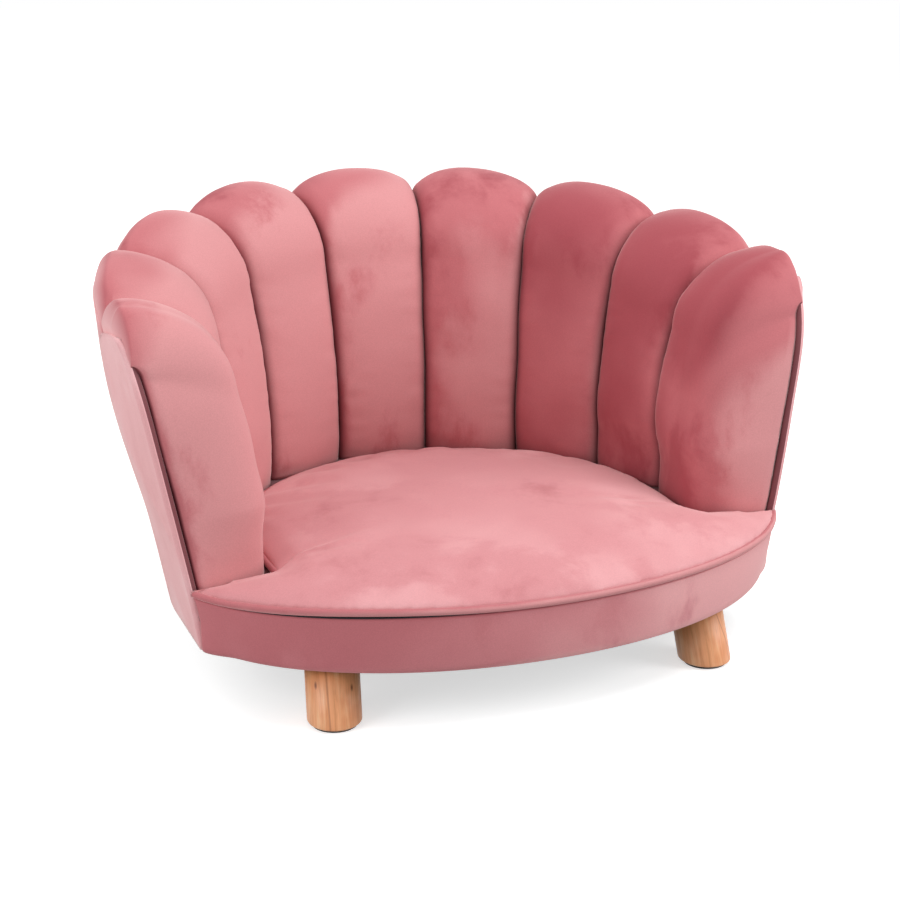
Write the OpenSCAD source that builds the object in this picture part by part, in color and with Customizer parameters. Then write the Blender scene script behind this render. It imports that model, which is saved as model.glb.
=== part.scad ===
// Dog sofa bed: a low tub sofa with a fanned, scalloped, channelled back, a loose
// T-shaped seat cushion with piping, a padded front border and four splayed legs.
// The form that takes the most skill is the fan of stuffed channels on the flared shell.
// X runs across the sofa, the seat opens towards -Y, and the floor is at z = 0.

/* [Overall shape] */
// Height from the floor to the top of the middle channel
height = 414; // [400:1:440]
// How much lower the channels end at the sides than at the back
side_drop = 44; // [32:1:50]
// Height of the lower edge of the upholstery above the floor
floor_gap = 56; // [50:1:66]
// Outer radius of the tub at its lower edge
base_r = 290; // [284:1:296]
// Outer radius of the tub at the rim level
rim_r = 350; // [346:1:358]
// Height at which the rim radius is measured
rim_level = 380; // [370:1:395]
// Distance from the tub centre to the front of the seat
front_reach = 237; // [230:1:250]

/* [Back frame] */
// Thickness of the outer cover with its wadding
cover_t = 3; // [2:0.5:3.5]
// Extra thickness of the wadding in the cover at half height
cover_belly = 8; // [4:1:10]
// Thickness of the outer board of the back
outer_board_t = 3; // [2:0.5:4]
// Thickness of the inner board of the back
inner_board_t = 3; // [2:0.5:4]
// Depth of the ribs between the two boards
rib_depth = 18; // [14:1:20]
// Width of each rib
rib_w = 16; // [12:1:20]
// Height of the top rail
top_rail_h = 20; // [14:1:26]
// Distance from the top of the channels down to the top of the boards
board_drop = 66; // [62:1:72]

/* [Channels] */
// Angle between two seams of the back
pitch_angle = 24.4; // [24:0.1:24.8]
// Depth of the stuffing in front of the inner board at the back
stuff_back = 66; // [58:1:68]
// Depth of the stuffing in front of the inner board at the sides
stuff_side = 77; // [73:1:80]
// How much thinner the stuffing is at the front of an arm than at its seam
arm_slim = 10; // [4:1:14]
// How far the middle of a channel stands in front of its seams
crown = 19; // [14:1:22]
// Depth of the scallops between the channel tops
scallop = 31; // [24:1:34]
// Height of the rounded top of a channel
dome_h = 84; // [76:1:90]
// Distance from the outside of the rim in to the ridge of a channel
ridge_in = 21; // [18:1:26]
// Gap between two neighbouring channels
seam_gap = 0.5; // [0.4:0.1:0.8]
// How far each arm front stands ahead of the tub centre, at the seat
arm_reach = 96; // [90:1:98]
// Length of the padding ahead of the end of the arm boards
arm_pad = 30; // [24:1:36]

/* [Seat cushion] */
// Half width of the cushion between the arms, and radius of its back edge
seat_r = 217; // [212:1:218]
// Thickness of the cushion at its edge
cushion_edge = 18; // [16:1:19]
// Extra thickness of the cushion in the middle
cushion_crown = 14; // [8:1:18]
// Thickness of the cushion cloth
cloth_t = 1; // [0.8:0.1:1.5]
// Diameter of the piping cord
piping_d = 7; // [5:0.5:8]
// How far the seat's front stands out past the base on each side
front_over = 20; // [16:1:24]
// Depth of the front ellipse of the seat
front_depth = 182; // [176:1:188]

/* [Base] */
// Thickness of the base board
base_board_t = 12; // [10:1:15]
// Thickness of the seat deck board
deck_t = 9; // [7:1:12]
// Height of the seat deck above the floor
deck_level = 110; // [108:1:114]
// Thickness of the rails between base board and deck
rail_t = 18; // [14:1:20]
// Thickness of the front border with its wadding
border_t = 8; // [5:1:9]
// How far the lower edge of the border is drawn in
border_taper = 14; // [8:1:16]
// Distance from the border's top edge down from the seat's piping
border_gap = 0.4; // [0.3:0.1:0.8]

/* [Legs] */
// Diameter of a leg
leg_d = 50; // [44:1:54]
// Distance of the front feet in from the ellipse of the seat front
foot_front_in = 29; // [26:1:36]
// Turn of the front feet round that ellipse, from straight out to the side
foot_front_turn = 48; // [44:1:54]
// Distance of the rear feet in from the round back of the base
foot_back_in = 56; // [52:1:64]
// Turn of the rear feet round the back, from straight behind
foot_back_turn = 40; // [34:1:46]
// Lean of the legs from the vertical
leg_lean = 18; // [10:1:20]
// How far the lean is turned outwards from straight ahead
leg_turn = 11; // [0:1:30]
// Diameter of the felt pad under a leg
pad_d = 42; // [36:1:44]
// Thickness of the felt pad
pad_t = 3; // [2:0.5:4]
// Diameter of the leg bolt
bolt_d = 8; // [6:1:10]
// Length of the leg bolt inside the leg
bolt_in = 32; // [24:1:38]
// Diameter of the flange of the tee nut
flange_d = 22; // [18:1:26]
// Thickness of the flange of the tee nut
flange_t = 1.5; // [1:0.5:2]
// Diameter of the barrel of the tee nut
barrel_d = 11; // [11:0.5:13]

/* [Hidden] */
$fn = 96;

// Running clearance between pieces that sit against each other
clear = 0.3;
// One overrun for every cut
over = 2;
// Thickness of the deck lining and of the dust cover
lining_t = 1;
// Slope of the shell, in radius for each unit of height
flare = (rim_r - base_r) / (rim_level - floor_gap);
// Radius at which the channels have their ridge
ridge_r = rim_r - ridge_in;
// Angle of the outermost seam from the back
last_seam = 3.5 * pitch_angle;

function mix(a, b, t) = a + (b - a) * t;
function shell_r(z) = base_r + flare * (z - floor_gap);
// Level of the plane that the channel tops touch, at a place y behind the tub centre
function top_plane(y) = height - side_drop + side_drop * y / ridge_r;

// The cover ends below the channel tops, higher on a channel than at a seam
edge_drop = 24;
edge_dip = 20;
// Wadding of the cover from its lower edge up: shares of the height and of the extra thickness
belly_shares = [[0, 0], [0.25, 0.08], [0.4, 0.6], [0.5, 0.92], [0.6, 1], [0.7, 0.75], [0.84, 0.12], [1, 0]];
function cover_r(z) = shell_r(z) + cover_belly * lookup((z - floor_gap) / (height - floor_gap), belly_shares);
rear_reach = cover_r(height - edge_drop);
// The tub centre is placed so that the whole sofa is centred on the origin
tub_y = (front_reach - rear_reach) / 2;

// Radial distances in from the outside of the shell
board_in = cover_t + clear;
rib_in = board_in + outer_board_t;
inner_in = rib_in + rib_depth;
stuff_in = inner_in + inner_board_t + clear;

base_top = floor_gap + lining_t + base_board_t;
rail_h = deck_level - deck_t - base_top;
// The arm boards end behind the padding of the arm front
arm_end = arm_reach - arm_pad;
cushion_z = deck_level + lining_t + clear;
// Half width of the front ellipse, and how far its middle lies ahead of the tub centre
front_half = base_r + front_over;
front_middle = front_reach - front_depth;
corner_angle = 15;
border_in = 3;
bottom_half = front_half - border_in - border_taper;
// Outer radius of the rail under the back of the deck, and of the deck
rail_r = shell_r(base_top) - stuff_in;
deck_r = shell_r(deck_level - deck_t) - stuff_in;
// The front rail lies just inside the border
rail_half = bottom_half - border_t - clear;
rail_deep = front_depth - border_in - border_t - clear;
// The front rail starts this many of the border's steps in from the corner
border_steps = 20;
rail_start = 2;
screw_d = 4;
screw_in = 20;
// The battens lie this far in from the sides of the base
batten_side_in = 210;
batten_x = base_r - batten_side_in;
batten_w = 22;
arch_steps = 12;
edge_steps = 12;
back_steps = 22;
ear_steps = 20;
board_steps = 60;

// Front edge of the outer cover: distance ahead of the centre at chosen heights
edge_shares = [[0, 0.98], [0.2, 1.04], [0.4, 1.02], [0.6, 0.97], [0.8, 0.91], [0.9, 0.83], [1, 0.68]];
edge_top = 330;
function edge_t(z) = max(0, min(1, (z - floor_gap) / (edge_top - floor_gap)));
function edge_y(z) = arm_reach * lookup(edge_t(z), edge_shares);

// Solid between two grids of points, front and back, with its four edges closed
module grid_solid(front, back) {
    cols = len(front);
    rows = len(front[0]);
    size = cols * rows;
    points = concat([for (c = front) each c], [for (c = back) each c]);
    function id(j, k, s) = s * size + j * rows + k;
    faces = [
        for (j = [0:cols - 2], k = [0:rows - 2]) each [
            [id(j, k, 0), id(j + 1, k, 0), id(j + 1, k + 1, 0)],
            [id(j, k, 0), id(j + 1, k + 1, 0), id(j, k + 1, 0)],
            [id(j, k, 1), id(j + 1, k + 1, 1), id(j + 1, k, 1)],
            [id(j, k, 1), id(j, k + 1, 1), id(j + 1, k + 1, 1)]],
        for (j = [0:cols - 2]) each [
            [id(j, 0, 0), id(j, 0, 1), id(j + 1, 0, 1)],
            [id(j, 0, 0), id(j + 1, 0, 1), id(j + 1, 0, 0)],
            [id(j, rows - 1, 0), id(j + 1, rows - 1, 1), id(j, rows - 1, 1)],
            [id(j, rows - 1, 0), id(j + 1, rows - 1, 0), id(j + 1, rows - 1, 1)]],
        for (k = [0:rows - 2]) each [
            [id(0, k, 0), id(0, k + 1, 1), id(0, k, 1)],
            [id(0, k, 0), id(0, k + 1, 0), id(0, k + 1, 1)],
            [id(cols - 1, k, 0), id(cols - 1, k, 1), id(cols - 1, k + 1, 1)],
            [id(cols - 1, k, 0), id(cols - 1, k + 1, 1), id(cols - 1, k + 1, 0)]]];
    polyhedron(points = points, faces = faces, convexity = 6);
}

// Depth shares of the stuffing from the seat up to where the rounded top starts
foot_shares = [0.74, 0.83, 0.87, 0.96, 1.0, 1.03, 1.06, 1.03];
// Heights of those rows, as shares of the way from the deck to the rounded top
level_shares = [0, 0.1, 0.18, 0.3, 0.42, 0.56, 0.78, 1];
rows = len(level_shares);
low_rows = 3;
dome_steps = 6;
column_steps = 10;

// Roundness across a channel, one in the middle and zero at the seams
function bulge(s) = sqrt(max(0, 1 - pow(abs(s), 2.1)));
function flat3(p, z) = [p.x, p.y, z];

// Depth of the stuffing at angle a from the back, at row i
function depth(a, i) = let (full = mix(stuff_back, stuff_side, 1 - cos(min(abs(a), 90))))
    i < low_rows ? stuff_seat(i) : full * foot_shares[i];
// At the seat the channels stand just outside the cushion
function stuff_seat(i) = shell_r(row_z(i, 0)) - stuff_in - seat_r - clear * 3
    - (i == 0 ? crown / 3 : 0);
function dome_z(a) = top_plane(ridge_r * cos(a)) - dome_h;
function row_z(i, a) = i < low_rows ? cushion_z + cushion_edge * i :
    mix(cushion_z, dome_z(a), level_shares[i]);

// Rounded top of a column: up from p to the ridge s and down to its end e
function dome(p, s, e, low, top, end) = [for (k = [1:dome_steps]) let (t = 180 * k / dome_steps)
    t <= 90 ? flat3(mix(p, s, 1 - cos(t)), mix(low, top, sin(t)))
            : flat3(mix(s, e, -cos(t)), mix(end, top, sin(t)))];

// One column of a channel of the rounded back, at angle a and place s across it
function back_column(a, s) = let (
        b = bulge(s),
        rise = top_plane(ridge_r * cos(a)),
        edge = rise - edge_drop - edge_dip * (1 - b),
        dir = [sin(a), cos(a)],
        face = [for (i = [0:rows - 1]) let (z = row_z(i, a))
            flat3(dir * (shell_r(z) - stuff_in - depth(a, i) + crown * (1 - b)), z)],
        start = face[rows - 1])
    concat(face, dome([start.x, start.y], dir * ridge_r, dir * (shell_r(edge) - board_in),
        start.z, rise - scallop * (1 - b), edge));

// Level just over the tops of the boards, at a place y behind the tub centre
function ledge(y) = top_plane(y) - board_drop + clear;
// Radius on that level at angle a from the back, a given distance in from the shell
function ledge_r(a, inset) = (shell_r(ledge(0)) - inset) / (1 - flare * side_drop / ridge_r * cos(a));

// Inner side of a column: up the inner board, then outwards over the tops of the boards
function inner_column(a) = let (
        dir = [sin(a), cos(a)],
        level = ledge(ledge_r(a, stuff_in) * cos(a)),
        up = [for (i = [0:rows - 1]) let (z = i < rows - 1 ? min(row_z(i, a), level) : level)
            flat3(dir * (shell_r(z) - stuff_in), z)])
    concat(up, [for (k = [1:dome_steps]) let (r = ledge_r(a, mix(stuff_in, board_in, k / dome_steps)))
        flat3(dir * r, ledge(r * cos(a)))]);

// A stuffed channel whose middle lies at angle mid from the back
module back_channel(mid) {
    half = pitch_angle / 2 - asin(seam_gap / 2 / seat_r);
    places = [for (j = [0:column_steps]) -cos(180 * j / column_steps)];
    translate([0, tub_y, 0])
        grid_solid([for (s = places) back_column(mid + half * s, s)],
            [for (s = places) inner_column(mid + half * s)]);
}

// Front of the last channel on its inner side, ahead of the tub centre at chosen heights
front_shares = [[0, 0.93], [0.25, 0.96], [0.6, 0.91], [0.8, 0.83], [1, 0.65]];
function inner_front(z) = arm_reach * lookup(edge_t(z), front_shares);
// Place along the arm where its front starts to round off
turn_share = 0.3;
// Squareness of the arm front in plan
corner_share = 0.5;
side_steps = 6;
turn_steps = 9;
// The column that reaches the corner of the arm boards
corner_step = 5;
// Height of the hook where the edge of the cover turns back along the rim
hook_drop = 45;
hook_round = 12;
// The stuffing stays this share of the frame's depth clear of the cover's corner
end_share = 0.92;

turn_y = -arm_reach * turn_share;

// Place along the arm of a point at x: at the seam when q is 1, at the turn when q is 0
function arm_y(x, q) = mix(turn_y, x / tan(last_seam) - seam_gap, q);
// Point at share q along the arm on a ring of radius r, which is straight ahead of the tub centre
function arm_at(r, q, z) = let (y = max(0, arm_y(r, q)), x = sqrt(r * r - y * y)) [x, arm_y(x, q), z];

// Depth of the stuffing of the last channel at row i, thinner towards its front
function arm_depth(i, q) = depth(90, i) - (i < low_rows ? 0 : arm_slim * (1 - q));

// Column of the last channel on its inner side, at share q from the turn to the seam
function arm_column(q) = let (
        b = bulge(q),
        rise = top_plane(arm_y(ridge_r, q)),
        edge = rise - edge_drop - edge_dip * (1 - b),
        face = [for (i = [0:rows - 1]) let (z = row_z(i, 90))
            arm_at(shell_r(z) - stuff_in - arm_depth(i, q) + crown * (1 - b), q, z)],
        start = face[rows - 1],
        ridge = arm_at(ridge_r, q, rise),
        rim = arm_at(shell_r(edge) - board_in, q, edge))
    concat(face, dome([start.x, start.y], [ridge.x, ridge.y], [rim.x, rim.y],
        start.z, rise - scallop * (1 - b), edge));

// Column of the last channel where it wraps round the arm front, at turn w from 0 to 1
function turn_column(w) = let (
        rise = top_plane(turn_y),
        hook = rise - hook_drop,
        amp = pow(cos(90 * w), 0.7),
        low = mix(row_z(rows - 1, 90), hook - hook_round, w * w),
        end = mix(rise - edge_drop, hook, w),
        face = [for (i = [0:rows - 1]) let (
                z = mix(cushion_z, low, (row_z(i, 90) - cushion_z) / (row_z(rows - 1, 90) - cushion_z)),
                outer = shell_r(z) - board_in,
                thick = outer - (shell_r(z) - stuff_in - arm_depth(i, 0)),
                x = outer - thick * pow(cos(90 * w), corner_share),
                ahead = pow(sin(90 * w), corner_share),
                skew = (edge_y(z) - inner_front(z)) * (1 - (outer - x) / thick))
            [x, mix(turn_y, -inner_front(z), ahead) - skew, z]],
        p = face[rows - 1],
        e = [shell_r(end) - board_in, mix(turn_y, -edge_y(end), w)],
        first = shell_r(row_z(rows - 1, 90)) - stuff_in - arm_depth(rows - 1, 0),
        q = (ridge_r - first) / (shell_r(rise - edge_drop) - board_in - first))
    concat(face, dome([p.x, p.y], mix([p.x, p.y], e, q), e, p.z, mix(end, rise, amp), end));

// Inner side of the last channel along the inner board, at share q from the turn to the seam
function arm_inner(q) = let (
        level = ledge(arm_y(shell_r(ledge(0)) - stuff_in, q)),
        up = [for (i = [0:rows - 1]) let (z = i < rows - 1 ? min(row_z(i, 90), level) : level)
            arm_at(shell_r(z) - stuff_in, q, z)])
    concat(up, [for (k = [1:dome_steps]) let (
            p = arm_at(shell_r(level) - mix(stuff_in, board_in, k / dome_steps), q, level))
        [p.x, p.y, ledge(p.y)]]);

// Inner side of the last channel round the ends of the arm boards and over their tops
function turn_inner(w) = let (
        end = -(arm_end + clear),
        corner = corner_step / turn_steps,
        y = mix(turn_y, end, min(w / corner, 1)),
        level = ledge(y),
        end_y = mix(turn_y, end + board_in / 2, w),
        near = mix(stuff_in, board_in, end_share * max(0, (w - corner) / (1 - corner))),
        up = [for (i = [0:rows - 1]) let (z = i < rows - 1 ? min(row_z(i, 90), level) : level)
            [shell_r(z) - near, y, z]])
    concat(up, [for (k = [1:dome_steps]) let (t = k / dome_steps, to = mix(y, end_y, t))
        [shell_r(level) - mix(near, board_in, t), to, ledge(to)]]);

// The last channel on the right, which also pads the front of the arm
module arm_channel() {
    side = [for (j = [0:side_steps]) cos(90 * j / side_steps)];
    turn = [for (j = [1:turn_steps]) j / turn_steps];
    translate([0, tub_y, 0])
        grid_solid(
            concat([for (q = side) arm_column(q)], [for (w = turn) turn_column(w)]),
            concat([for (q = side) arm_inner(q)], [for (w = turn) turn_inner(w)]));
}

// Closed band that follows the tub: a half ring at the back and two straight arms.
// The outline is its section, in radius and height.
module tub_band(outline, reach) {
    translate([0, tub_y, 0]) {
        rotate_extrude(angle = 180)
            polygon(outline);
        for (side = [0, 1])
            mirror([side, 0, 0])
                rotate([90, 0, 0])
                    linear_extrude(reach)
                        polygon(outline);
    }
}

// Band between two distances in from the outside of the shell, cut under a tilted plane
module shell_band(z0, near, far, drop, reach) {
    outline = [[shell_r(z0) - far, z0], [shell_r(z0) - near, z0],
        [shell_r(height) - near, height], [shell_r(height) - far, height]];
    intersection() {
        tub_band(outline, reach);
        below_plane(drop);
    }
}

// Everything lower than the plane of the channel tops, less a drop
module below_plane(drop) {
    tall = height * 2;
    reach = rim_r * 2;
    translate([0, tub_y, height - side_drop - drop])
        rotate([atan(side_drop / ridge_r), 0, 0])
            translate([-reach, -reach, -tall])
                cube([reach * 2, reach * 2, tall]);
}

// Plan outline of the seat front: an ellipse from the right corner to the left corner
function front_arc(a, b, from, steps) = [for (k = [0:steps])
    let (t = mix(from, 180 - from, k / steps)) [a * cos(t), tub_y - front_middle - b * sin(t)]];

// Plan outline of a board of the base, with a round back of radius r
function base_outline(r, inset) = concat(
    front_arc(bottom_half - inset, front_depth - border_in - inset, corner_angle, border_steps),
    [[-r, tub_y - arm_reach]],
    [for (k = [0:board_steps]) let (t = 180 - 180 * k / board_steps) [r * cos(t), tub_y + r * sin(t)]],
    [[r, tub_y - arm_reach]]);

// Base

// Places of the legs on the floor: side, front or back, and the turn of their lean
function leg_place(side, end) = end < 0
    ? [side * (front_half - foot_front_in) * cos(foot_front_turn),
        tub_y - front_middle - (front_depth - foot_front_in) * sin(foot_front_turn)]
    : let (r = base_r - foot_back_in)
        [side * r * sin(foot_back_turn), tub_y + r * cos(foot_back_turn)];

// Puts its children upright on a leg's axis, which leans in towards the middle going up
module on_leg(side, end) {
    at = leg_place(side, end);
    translate([at.x, at.y, 0])
        rotate([0, leg_lean, -end * (90 + side * leg_turn)])
            rotate([0, 0, 90])
                children();
}

module each_leg() {
    for (side = [-1, 1], end = [-1, 1])
        on_leg(side, end)
            children();
}

// Distance along a leg's axis from the floor up to a level
function along(z) = z / cos(leg_lean);
seat_up = along(base_top) - flange_d / 2 * tan(leg_lean);
bolt_top = seat_up + flange_t * 2;

module base_board() {
    color("burlywood")
        difference() {
            translate([0, 0, floor_gap + lining_t])
                linear_extrude(base_board_t)
                    polygon(base_outline(base_r - board_in, border_t + clear));
            each_leg()
                cylinder(h = along(height), d = barrel_d + clear);
            each_leg()
                translate([0, 0, seat_up - clear / 2])
                    cylinder(h = along(height), d = flange_d + clear * 2);
            rail_screw_places()
                cylinder(h = height, d = screw_d + clear);
        }
}

module leg(side, end) {
    color("peru")
        difference() {
            intersection() {
                on_leg(side, end)
                    translate([0, 0, -leg_d])
                        cylinder(h = along(floor_gap) + leg_d * 2, d = leg_d);
                translate([-rim_r, -rim_r, pad_t])
                    cube([rim_r * 2, rim_r * 2, floor_gap + lining_t - pad_t]);
            }
            on_leg(side, end)
                translate([0, 0, along(floor_gap + lining_t) - bolt_in])
                    cylinder(h = bolt_in + leg_d, d = bolt_d + clear);
        }
}

module foot(side, end) {
    at = leg_place(side, end);
    color("dimgray")
        translate([at.x, at.y, 0])
            cylinder(h = pad_t, d = pad_d);
}

module leg_bolt(side, end) {
    start = along(floor_gap + lining_t) - bolt_in + clear;
    color("silver")
        on_leg(side, end)
            translate([0, 0, start])
                cylinder(h = bolt_top - start, d = bolt_d);
}

module tee_nut(side, end) {
    depth = base_board_t / 2;
    color("gainsboro")
        on_leg(side, end)
            difference() {
                union() {
                    translate([0, 0, seat_up])
                        cylinder(h = flange_t, d = flange_d);
                    translate([0, 0, seat_up - depth])
                        cylinder(h = depth + flange_t, d = barrel_d);
                }
                translate([0, 0, seat_up - depth - over])
                    cylinder(h = depth + flange_t + over * 2, d = bolt_d + clear / 2);
            }
}

// Screws that hold the rails to the base board, driven up from below
module rail_screw_places() {
    r = rail_r - rail_t / 2;
    translate([0, tub_y, 0]) {
        for (a = [0:45:180])
            rotate([0, 0, a])
                translate([r, 0, 0])
                    children();
    }
    for (a = [35, 70, 110, 145])
        translate([(rail_half - rail_t / 2) * cos(a),
            tub_y - front_middle - (rail_deep - rail_t / 2) * sin(a), 0])
            children();
}

module rail_screws() {
    low = floor_gap + lining_t;
    color("silver")
        rail_screw_places()
            translate([0, 0, low])
                cylinder(h = base_board_t + screw_in, d = screw_d);
}

module screw_holes_in_rail() {
    rail_screw_places()
        cylinder(h = base_top + screw_in + clear, d = screw_d + clear);
}

module tub_rail() {
    color("tan")
        difference() {
            tub_band([[rail_r - rail_t, base_top], [rail_r, base_top],
                [rail_r, base_top + rail_h], [rail_r - rail_t, base_top + rail_h]], arm_end);
            screw_holes_in_rail();
        }
}

module front_rail() {
    from = mix(corner_angle, 180 - corner_angle, rail_start / border_steps);
    steps = border_steps - rail_start * 2;
    outer = front_arc(rail_half, rail_deep, from, steps);
    inner = front_arc(rail_half - rail_t, rail_deep - rail_t, from, steps);
    color("tan")
        difference() {
            translate([0, 0, base_top])
                linear_extrude(rail_h)
                    polygon(concat(outer, [for (k = [len(inner) - 1:-1:0]) inner[k]]));
            screw_holes_in_rail();
        }
}

module batten(side) {
    reach = rail_r - rail_t - clear;
    back = sqrt(reach * reach - pow(batten_x + batten_w, 2));
    front = front_middle + (rail_deep - rail_t - clear)
        * sqrt(1 - pow((batten_x + batten_w) / (rail_half - rail_t), 2));
    color("tan")
        translate([side > 0 ? batten_x : -batten_x - batten_w, tub_y - front, base_top])
            cube([batten_w, front + back, rail_h]);
}

module deck_board() {
    color("burlywood")
        translate([0, 0, deck_level - deck_t])
            linear_extrude(deck_t)
                polygon(base_outline(deck_r, border_t + clear));
}

module deck_lining() {
    color("dimgray")
        translate([0, 0, deck_level])
            linear_extrude(lining_t)
                polygon(base_outline(deck_r, border_t + clear));
}

module dust_cover() {
    color("dimgray")
        difference() {
            translate([0, 0, floor_gap])
                linear_extrude(lining_t)
                    polygon(base_outline(base_r - board_in, border_t + clear));
            each_leg()
                translate([0, 0, -leg_d])
                    cylinder(h = along(floor_gap) + leg_d * 2, d = leg_d + clear * 4);
        }
}

// Back frame

module outer_board() {
    color("rosybrown")
        shell_band(base_top, board_in, rib_in, board_drop, arm_end);
}

module inner_board() {
    color("rosybrown")
        shell_band(base_top, inner_in, inner_in + inner_board_t, board_drop, arm_end);
}

module top_rail() {
    color("tan")
        difference() {
            shell_band(base_top, rib_in + clear / 2, inner_in - clear / 2, board_drop, arm_end);
            below_plane(board_drop + top_rail_h);
        }
}

// A rib stands on the base board under the top rail, at angle a from the back
module rib(a) {
    color("tan")
        intersection() {
            shell_band(base_top, rib_in + clear / 2, inner_in - clear / 2,
                board_drop + top_rail_h, arm_end);
            translate([0, tub_y, 0])
                rotate([0, 0, -a])
                    translate([-rib_w / 2, 0, 0])
                        cube([rib_w, rim_r * 2, height]);
        }
}

module arm_post(side) {
    color("tan")
        intersection() {
            shell_band(base_top, rib_in + clear / 2, inner_in - clear / 2,
                board_drop + top_rail_h, arm_end);
            translate([side > 0 ? 0 : -rim_r * 2, tub_y - arm_end, 0])
                cube([rim_r * 2, rib_w, height]);
        }
}

// Cover

// Arch over each channel, cut through the wall of the outer cover
module rim_arches() {
    half = pitch_angle / 2;
    for (i = [-3:3]) {
        a = i * pitch_angle;
        rise = top_plane(ridge_r * cos(a)) - edge_drop;
        w = rim_r * tan(half) + over;
        translate([0, tub_y, 0])
            rotate([0, 0, -a])
                rotate([90, 0, 180])
                    linear_extrude(rim_r * 2)
                        polygon(concat([[-w, 0]],
                            [for (k = [0:arch_steps]) let (s = -cos(180 * k / arch_steps))
                                [w * s, rise - edge_dip * (1 - bulge(s))]], [[w, 0]]));
    }
}

// Side outline of the arms: their front edge, the hook and the rim
module arm_profile() {
    rise = top_plane(turn_y) - edge_drop;
    hook = top_plane(turn_y) - hook_drop;
    back = ridge_r * cos(last_seam);
    front = [for (k = [0:edge_steps]) let (z = mix(floor_gap, hook, k / edge_steps)) [-edge_y(z), z]];
    rim = [for (k = [1:arch_steps]) let (w = k / arch_steps)
        [mix(-edge_y(hook), turn_y, w), mix(hook, rise, sin(90 * w))]];
    rotate([90, 0, 90])
        linear_extrude(rim_r * 4, center = true)
            translate([tub_y, 0])
                polygon(concat(front, rim,
                    [[back + over, rise - edge_dip], [back + over, floor_gap]]));
}

// The wadding thins out along each arm to nothing at the arm's front: the space inside a slanted plane
module arm_taper() {
    big = rim_r * 2;
    lean = atan(flare);
    translate([base_r + cover_belly, tub_y, floor_gap])
        rotate([0, lean, 0])
            rotate([0, 0, -atan(cover_belly / arm_reach * cos(lean))])
                translate([-big, -big, -big])
                    cube([big, big * 2, big * 2]);
}

module outer_cover() {
    inside = [[shell_r(height) - cover_t, height], [base_r - cover_t, floor_gap]];
    outside = [for (b = belly_shares) let (z = mix(floor_gap, height, b[0])) [cover_r(z), z]];
    color("lightpink")
        intersection() {
            tub_band(concat(outside, inside), arm_reach * 2);
            arm_taper();
            mirror([1, 0, 0])
                arm_taper();
            union() {
                rim_arches();
                arm_profile();
            }
        }
}

// Columns of the front border, across its section: foot, rounded edge, wall and top
border_round = 6;
function border_column(t, inset, curl) = let (
        top = cushion_z - border_gap,
        section = [[border_round, 0], [border_round * 0.3, border_round * 0.3], [0, border_round],
            [0, (top - floor_gap) / 2], [0, top - floor_gap]])
    [for (p = section) let (
            share = p[1] / (top - floor_gap),
            a = bottom_half + border_taper * share - p[0] * curl - inset,
            b = front_depth - border_in - p[0] * curl - inset)
        [a * cos(t), tub_y - front_middle - b * sin(t), floor_gap + p[1]]];

module front_border() {
    angles = [for (k = [0:border_steps]) mix(corner_angle, 180 - corner_angle, k / border_steps)];
    color("pink")
        grid_solid([for (t = angles) border_column(t, 0, 1)],
            [for (t = angles) border_column(t, border_t, 0)]);
}

// Cushion

// Plan outline of the cushion, drawn in by inset
function cushion_outline(inset) = let (
        r = seat_r - inset,
        a = front_half - inset,
        b = front_depth - inset)
    concat(
        [for (k = [0:ear_steps]) let (t = mix(corner_angle, 180 - corner_angle, k / ear_steps))
            [a * cos(t), tub_y - front_middle - b * sin(t)]],
        [[-r, tub_y - inner_front(cushion_z) - inset - over]],
        [for (k = [0:back_steps]) let (t = 180 - 180 * k / back_steps)
            [r * cos(t), tub_y + r * sin(t)]],
        [[r, tub_y - inner_front(cushion_z) - inset - over]]);

// Solid between two stacks of closed rings, the first ring of each stack outermost
module disc_solid(top, bottom) {
    n = len(top[0]);
    layers = len(top);
    low_layers = len(bottom);
    start = n * layers;
    points = concat([for (r = top) each r], [for (r = bottom) each r],
        [middle(top[layers - 1]), middle(bottom[low_layers - 1])]);
    up = len(points) - 2;
    down = len(points) - 1;
    function id(k, j) = k * n + j % n;
    function low(k, j) = start + k * n + j % n;
    faces = [
        for (k = [0:layers - 2], j = [0:n - 1]) each [
            [id(k, j), id(k + 1, j), id(k + 1, j + 1)],
            [id(k, j), id(k + 1, j + 1), id(k, j + 1)]],
        for (k = [0:low_layers - 2], j = [0:n - 1]) each [
            [low(k, j), low(k + 1, j + 1), low(k + 1, j)],
            [low(k, j), low(k, j + 1), low(k + 1, j + 1)]],
        for (j = [0:n - 1]) each [
            [id(layers - 1, j), up, id(layers - 1, j + 1)],
            [low(low_layers - 1, j), low(low_layers - 1, j + 1), down],
            [id(0, j), id(0, j + 1), low(0, j + 1)],
            [id(0, j), low(0, j + 1), low(0, j)]]];
    polyhedron(points = points, faces = faces, convexity = 6);
}

function middle(ring) = let (one = [for (p = ring) 1]) one * ring / len(ring);

// Rings of the cushion from its edge to its middle: share of the outline, share of the height
crown_shares = [[1, 0], [0.985, 0.36], [0.94, 0.6], [0.82, 0.79], [0.58, 0.94], [0.28, 1]];
cushion_middle = [0, tub_y - front_middle];
function cushion_rings(inset, low, high) = let (outline = cushion_outline(inset))
    [for (c = crown_shares)
        [for (p = outline) flat3(mix(cushion_middle, p, c[0]), mix(low, high, c[1]))]];

// The piping runs round the seam between the top and the base of the cushion
top_inset = piping_d + clear;
cushion_top_z = cushion_z + cushion_edge + cushion_crown;

module cushion_top() {
    low = cushion_z + cloth_t + clear / 2;
    color("lightpink")
        disc_solid(cushion_rings(top_inset, low, cushion_top_z),
            cushion_rings(top_inset + cloth_t, low, cushion_top_z - cloth_t));
}

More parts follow.
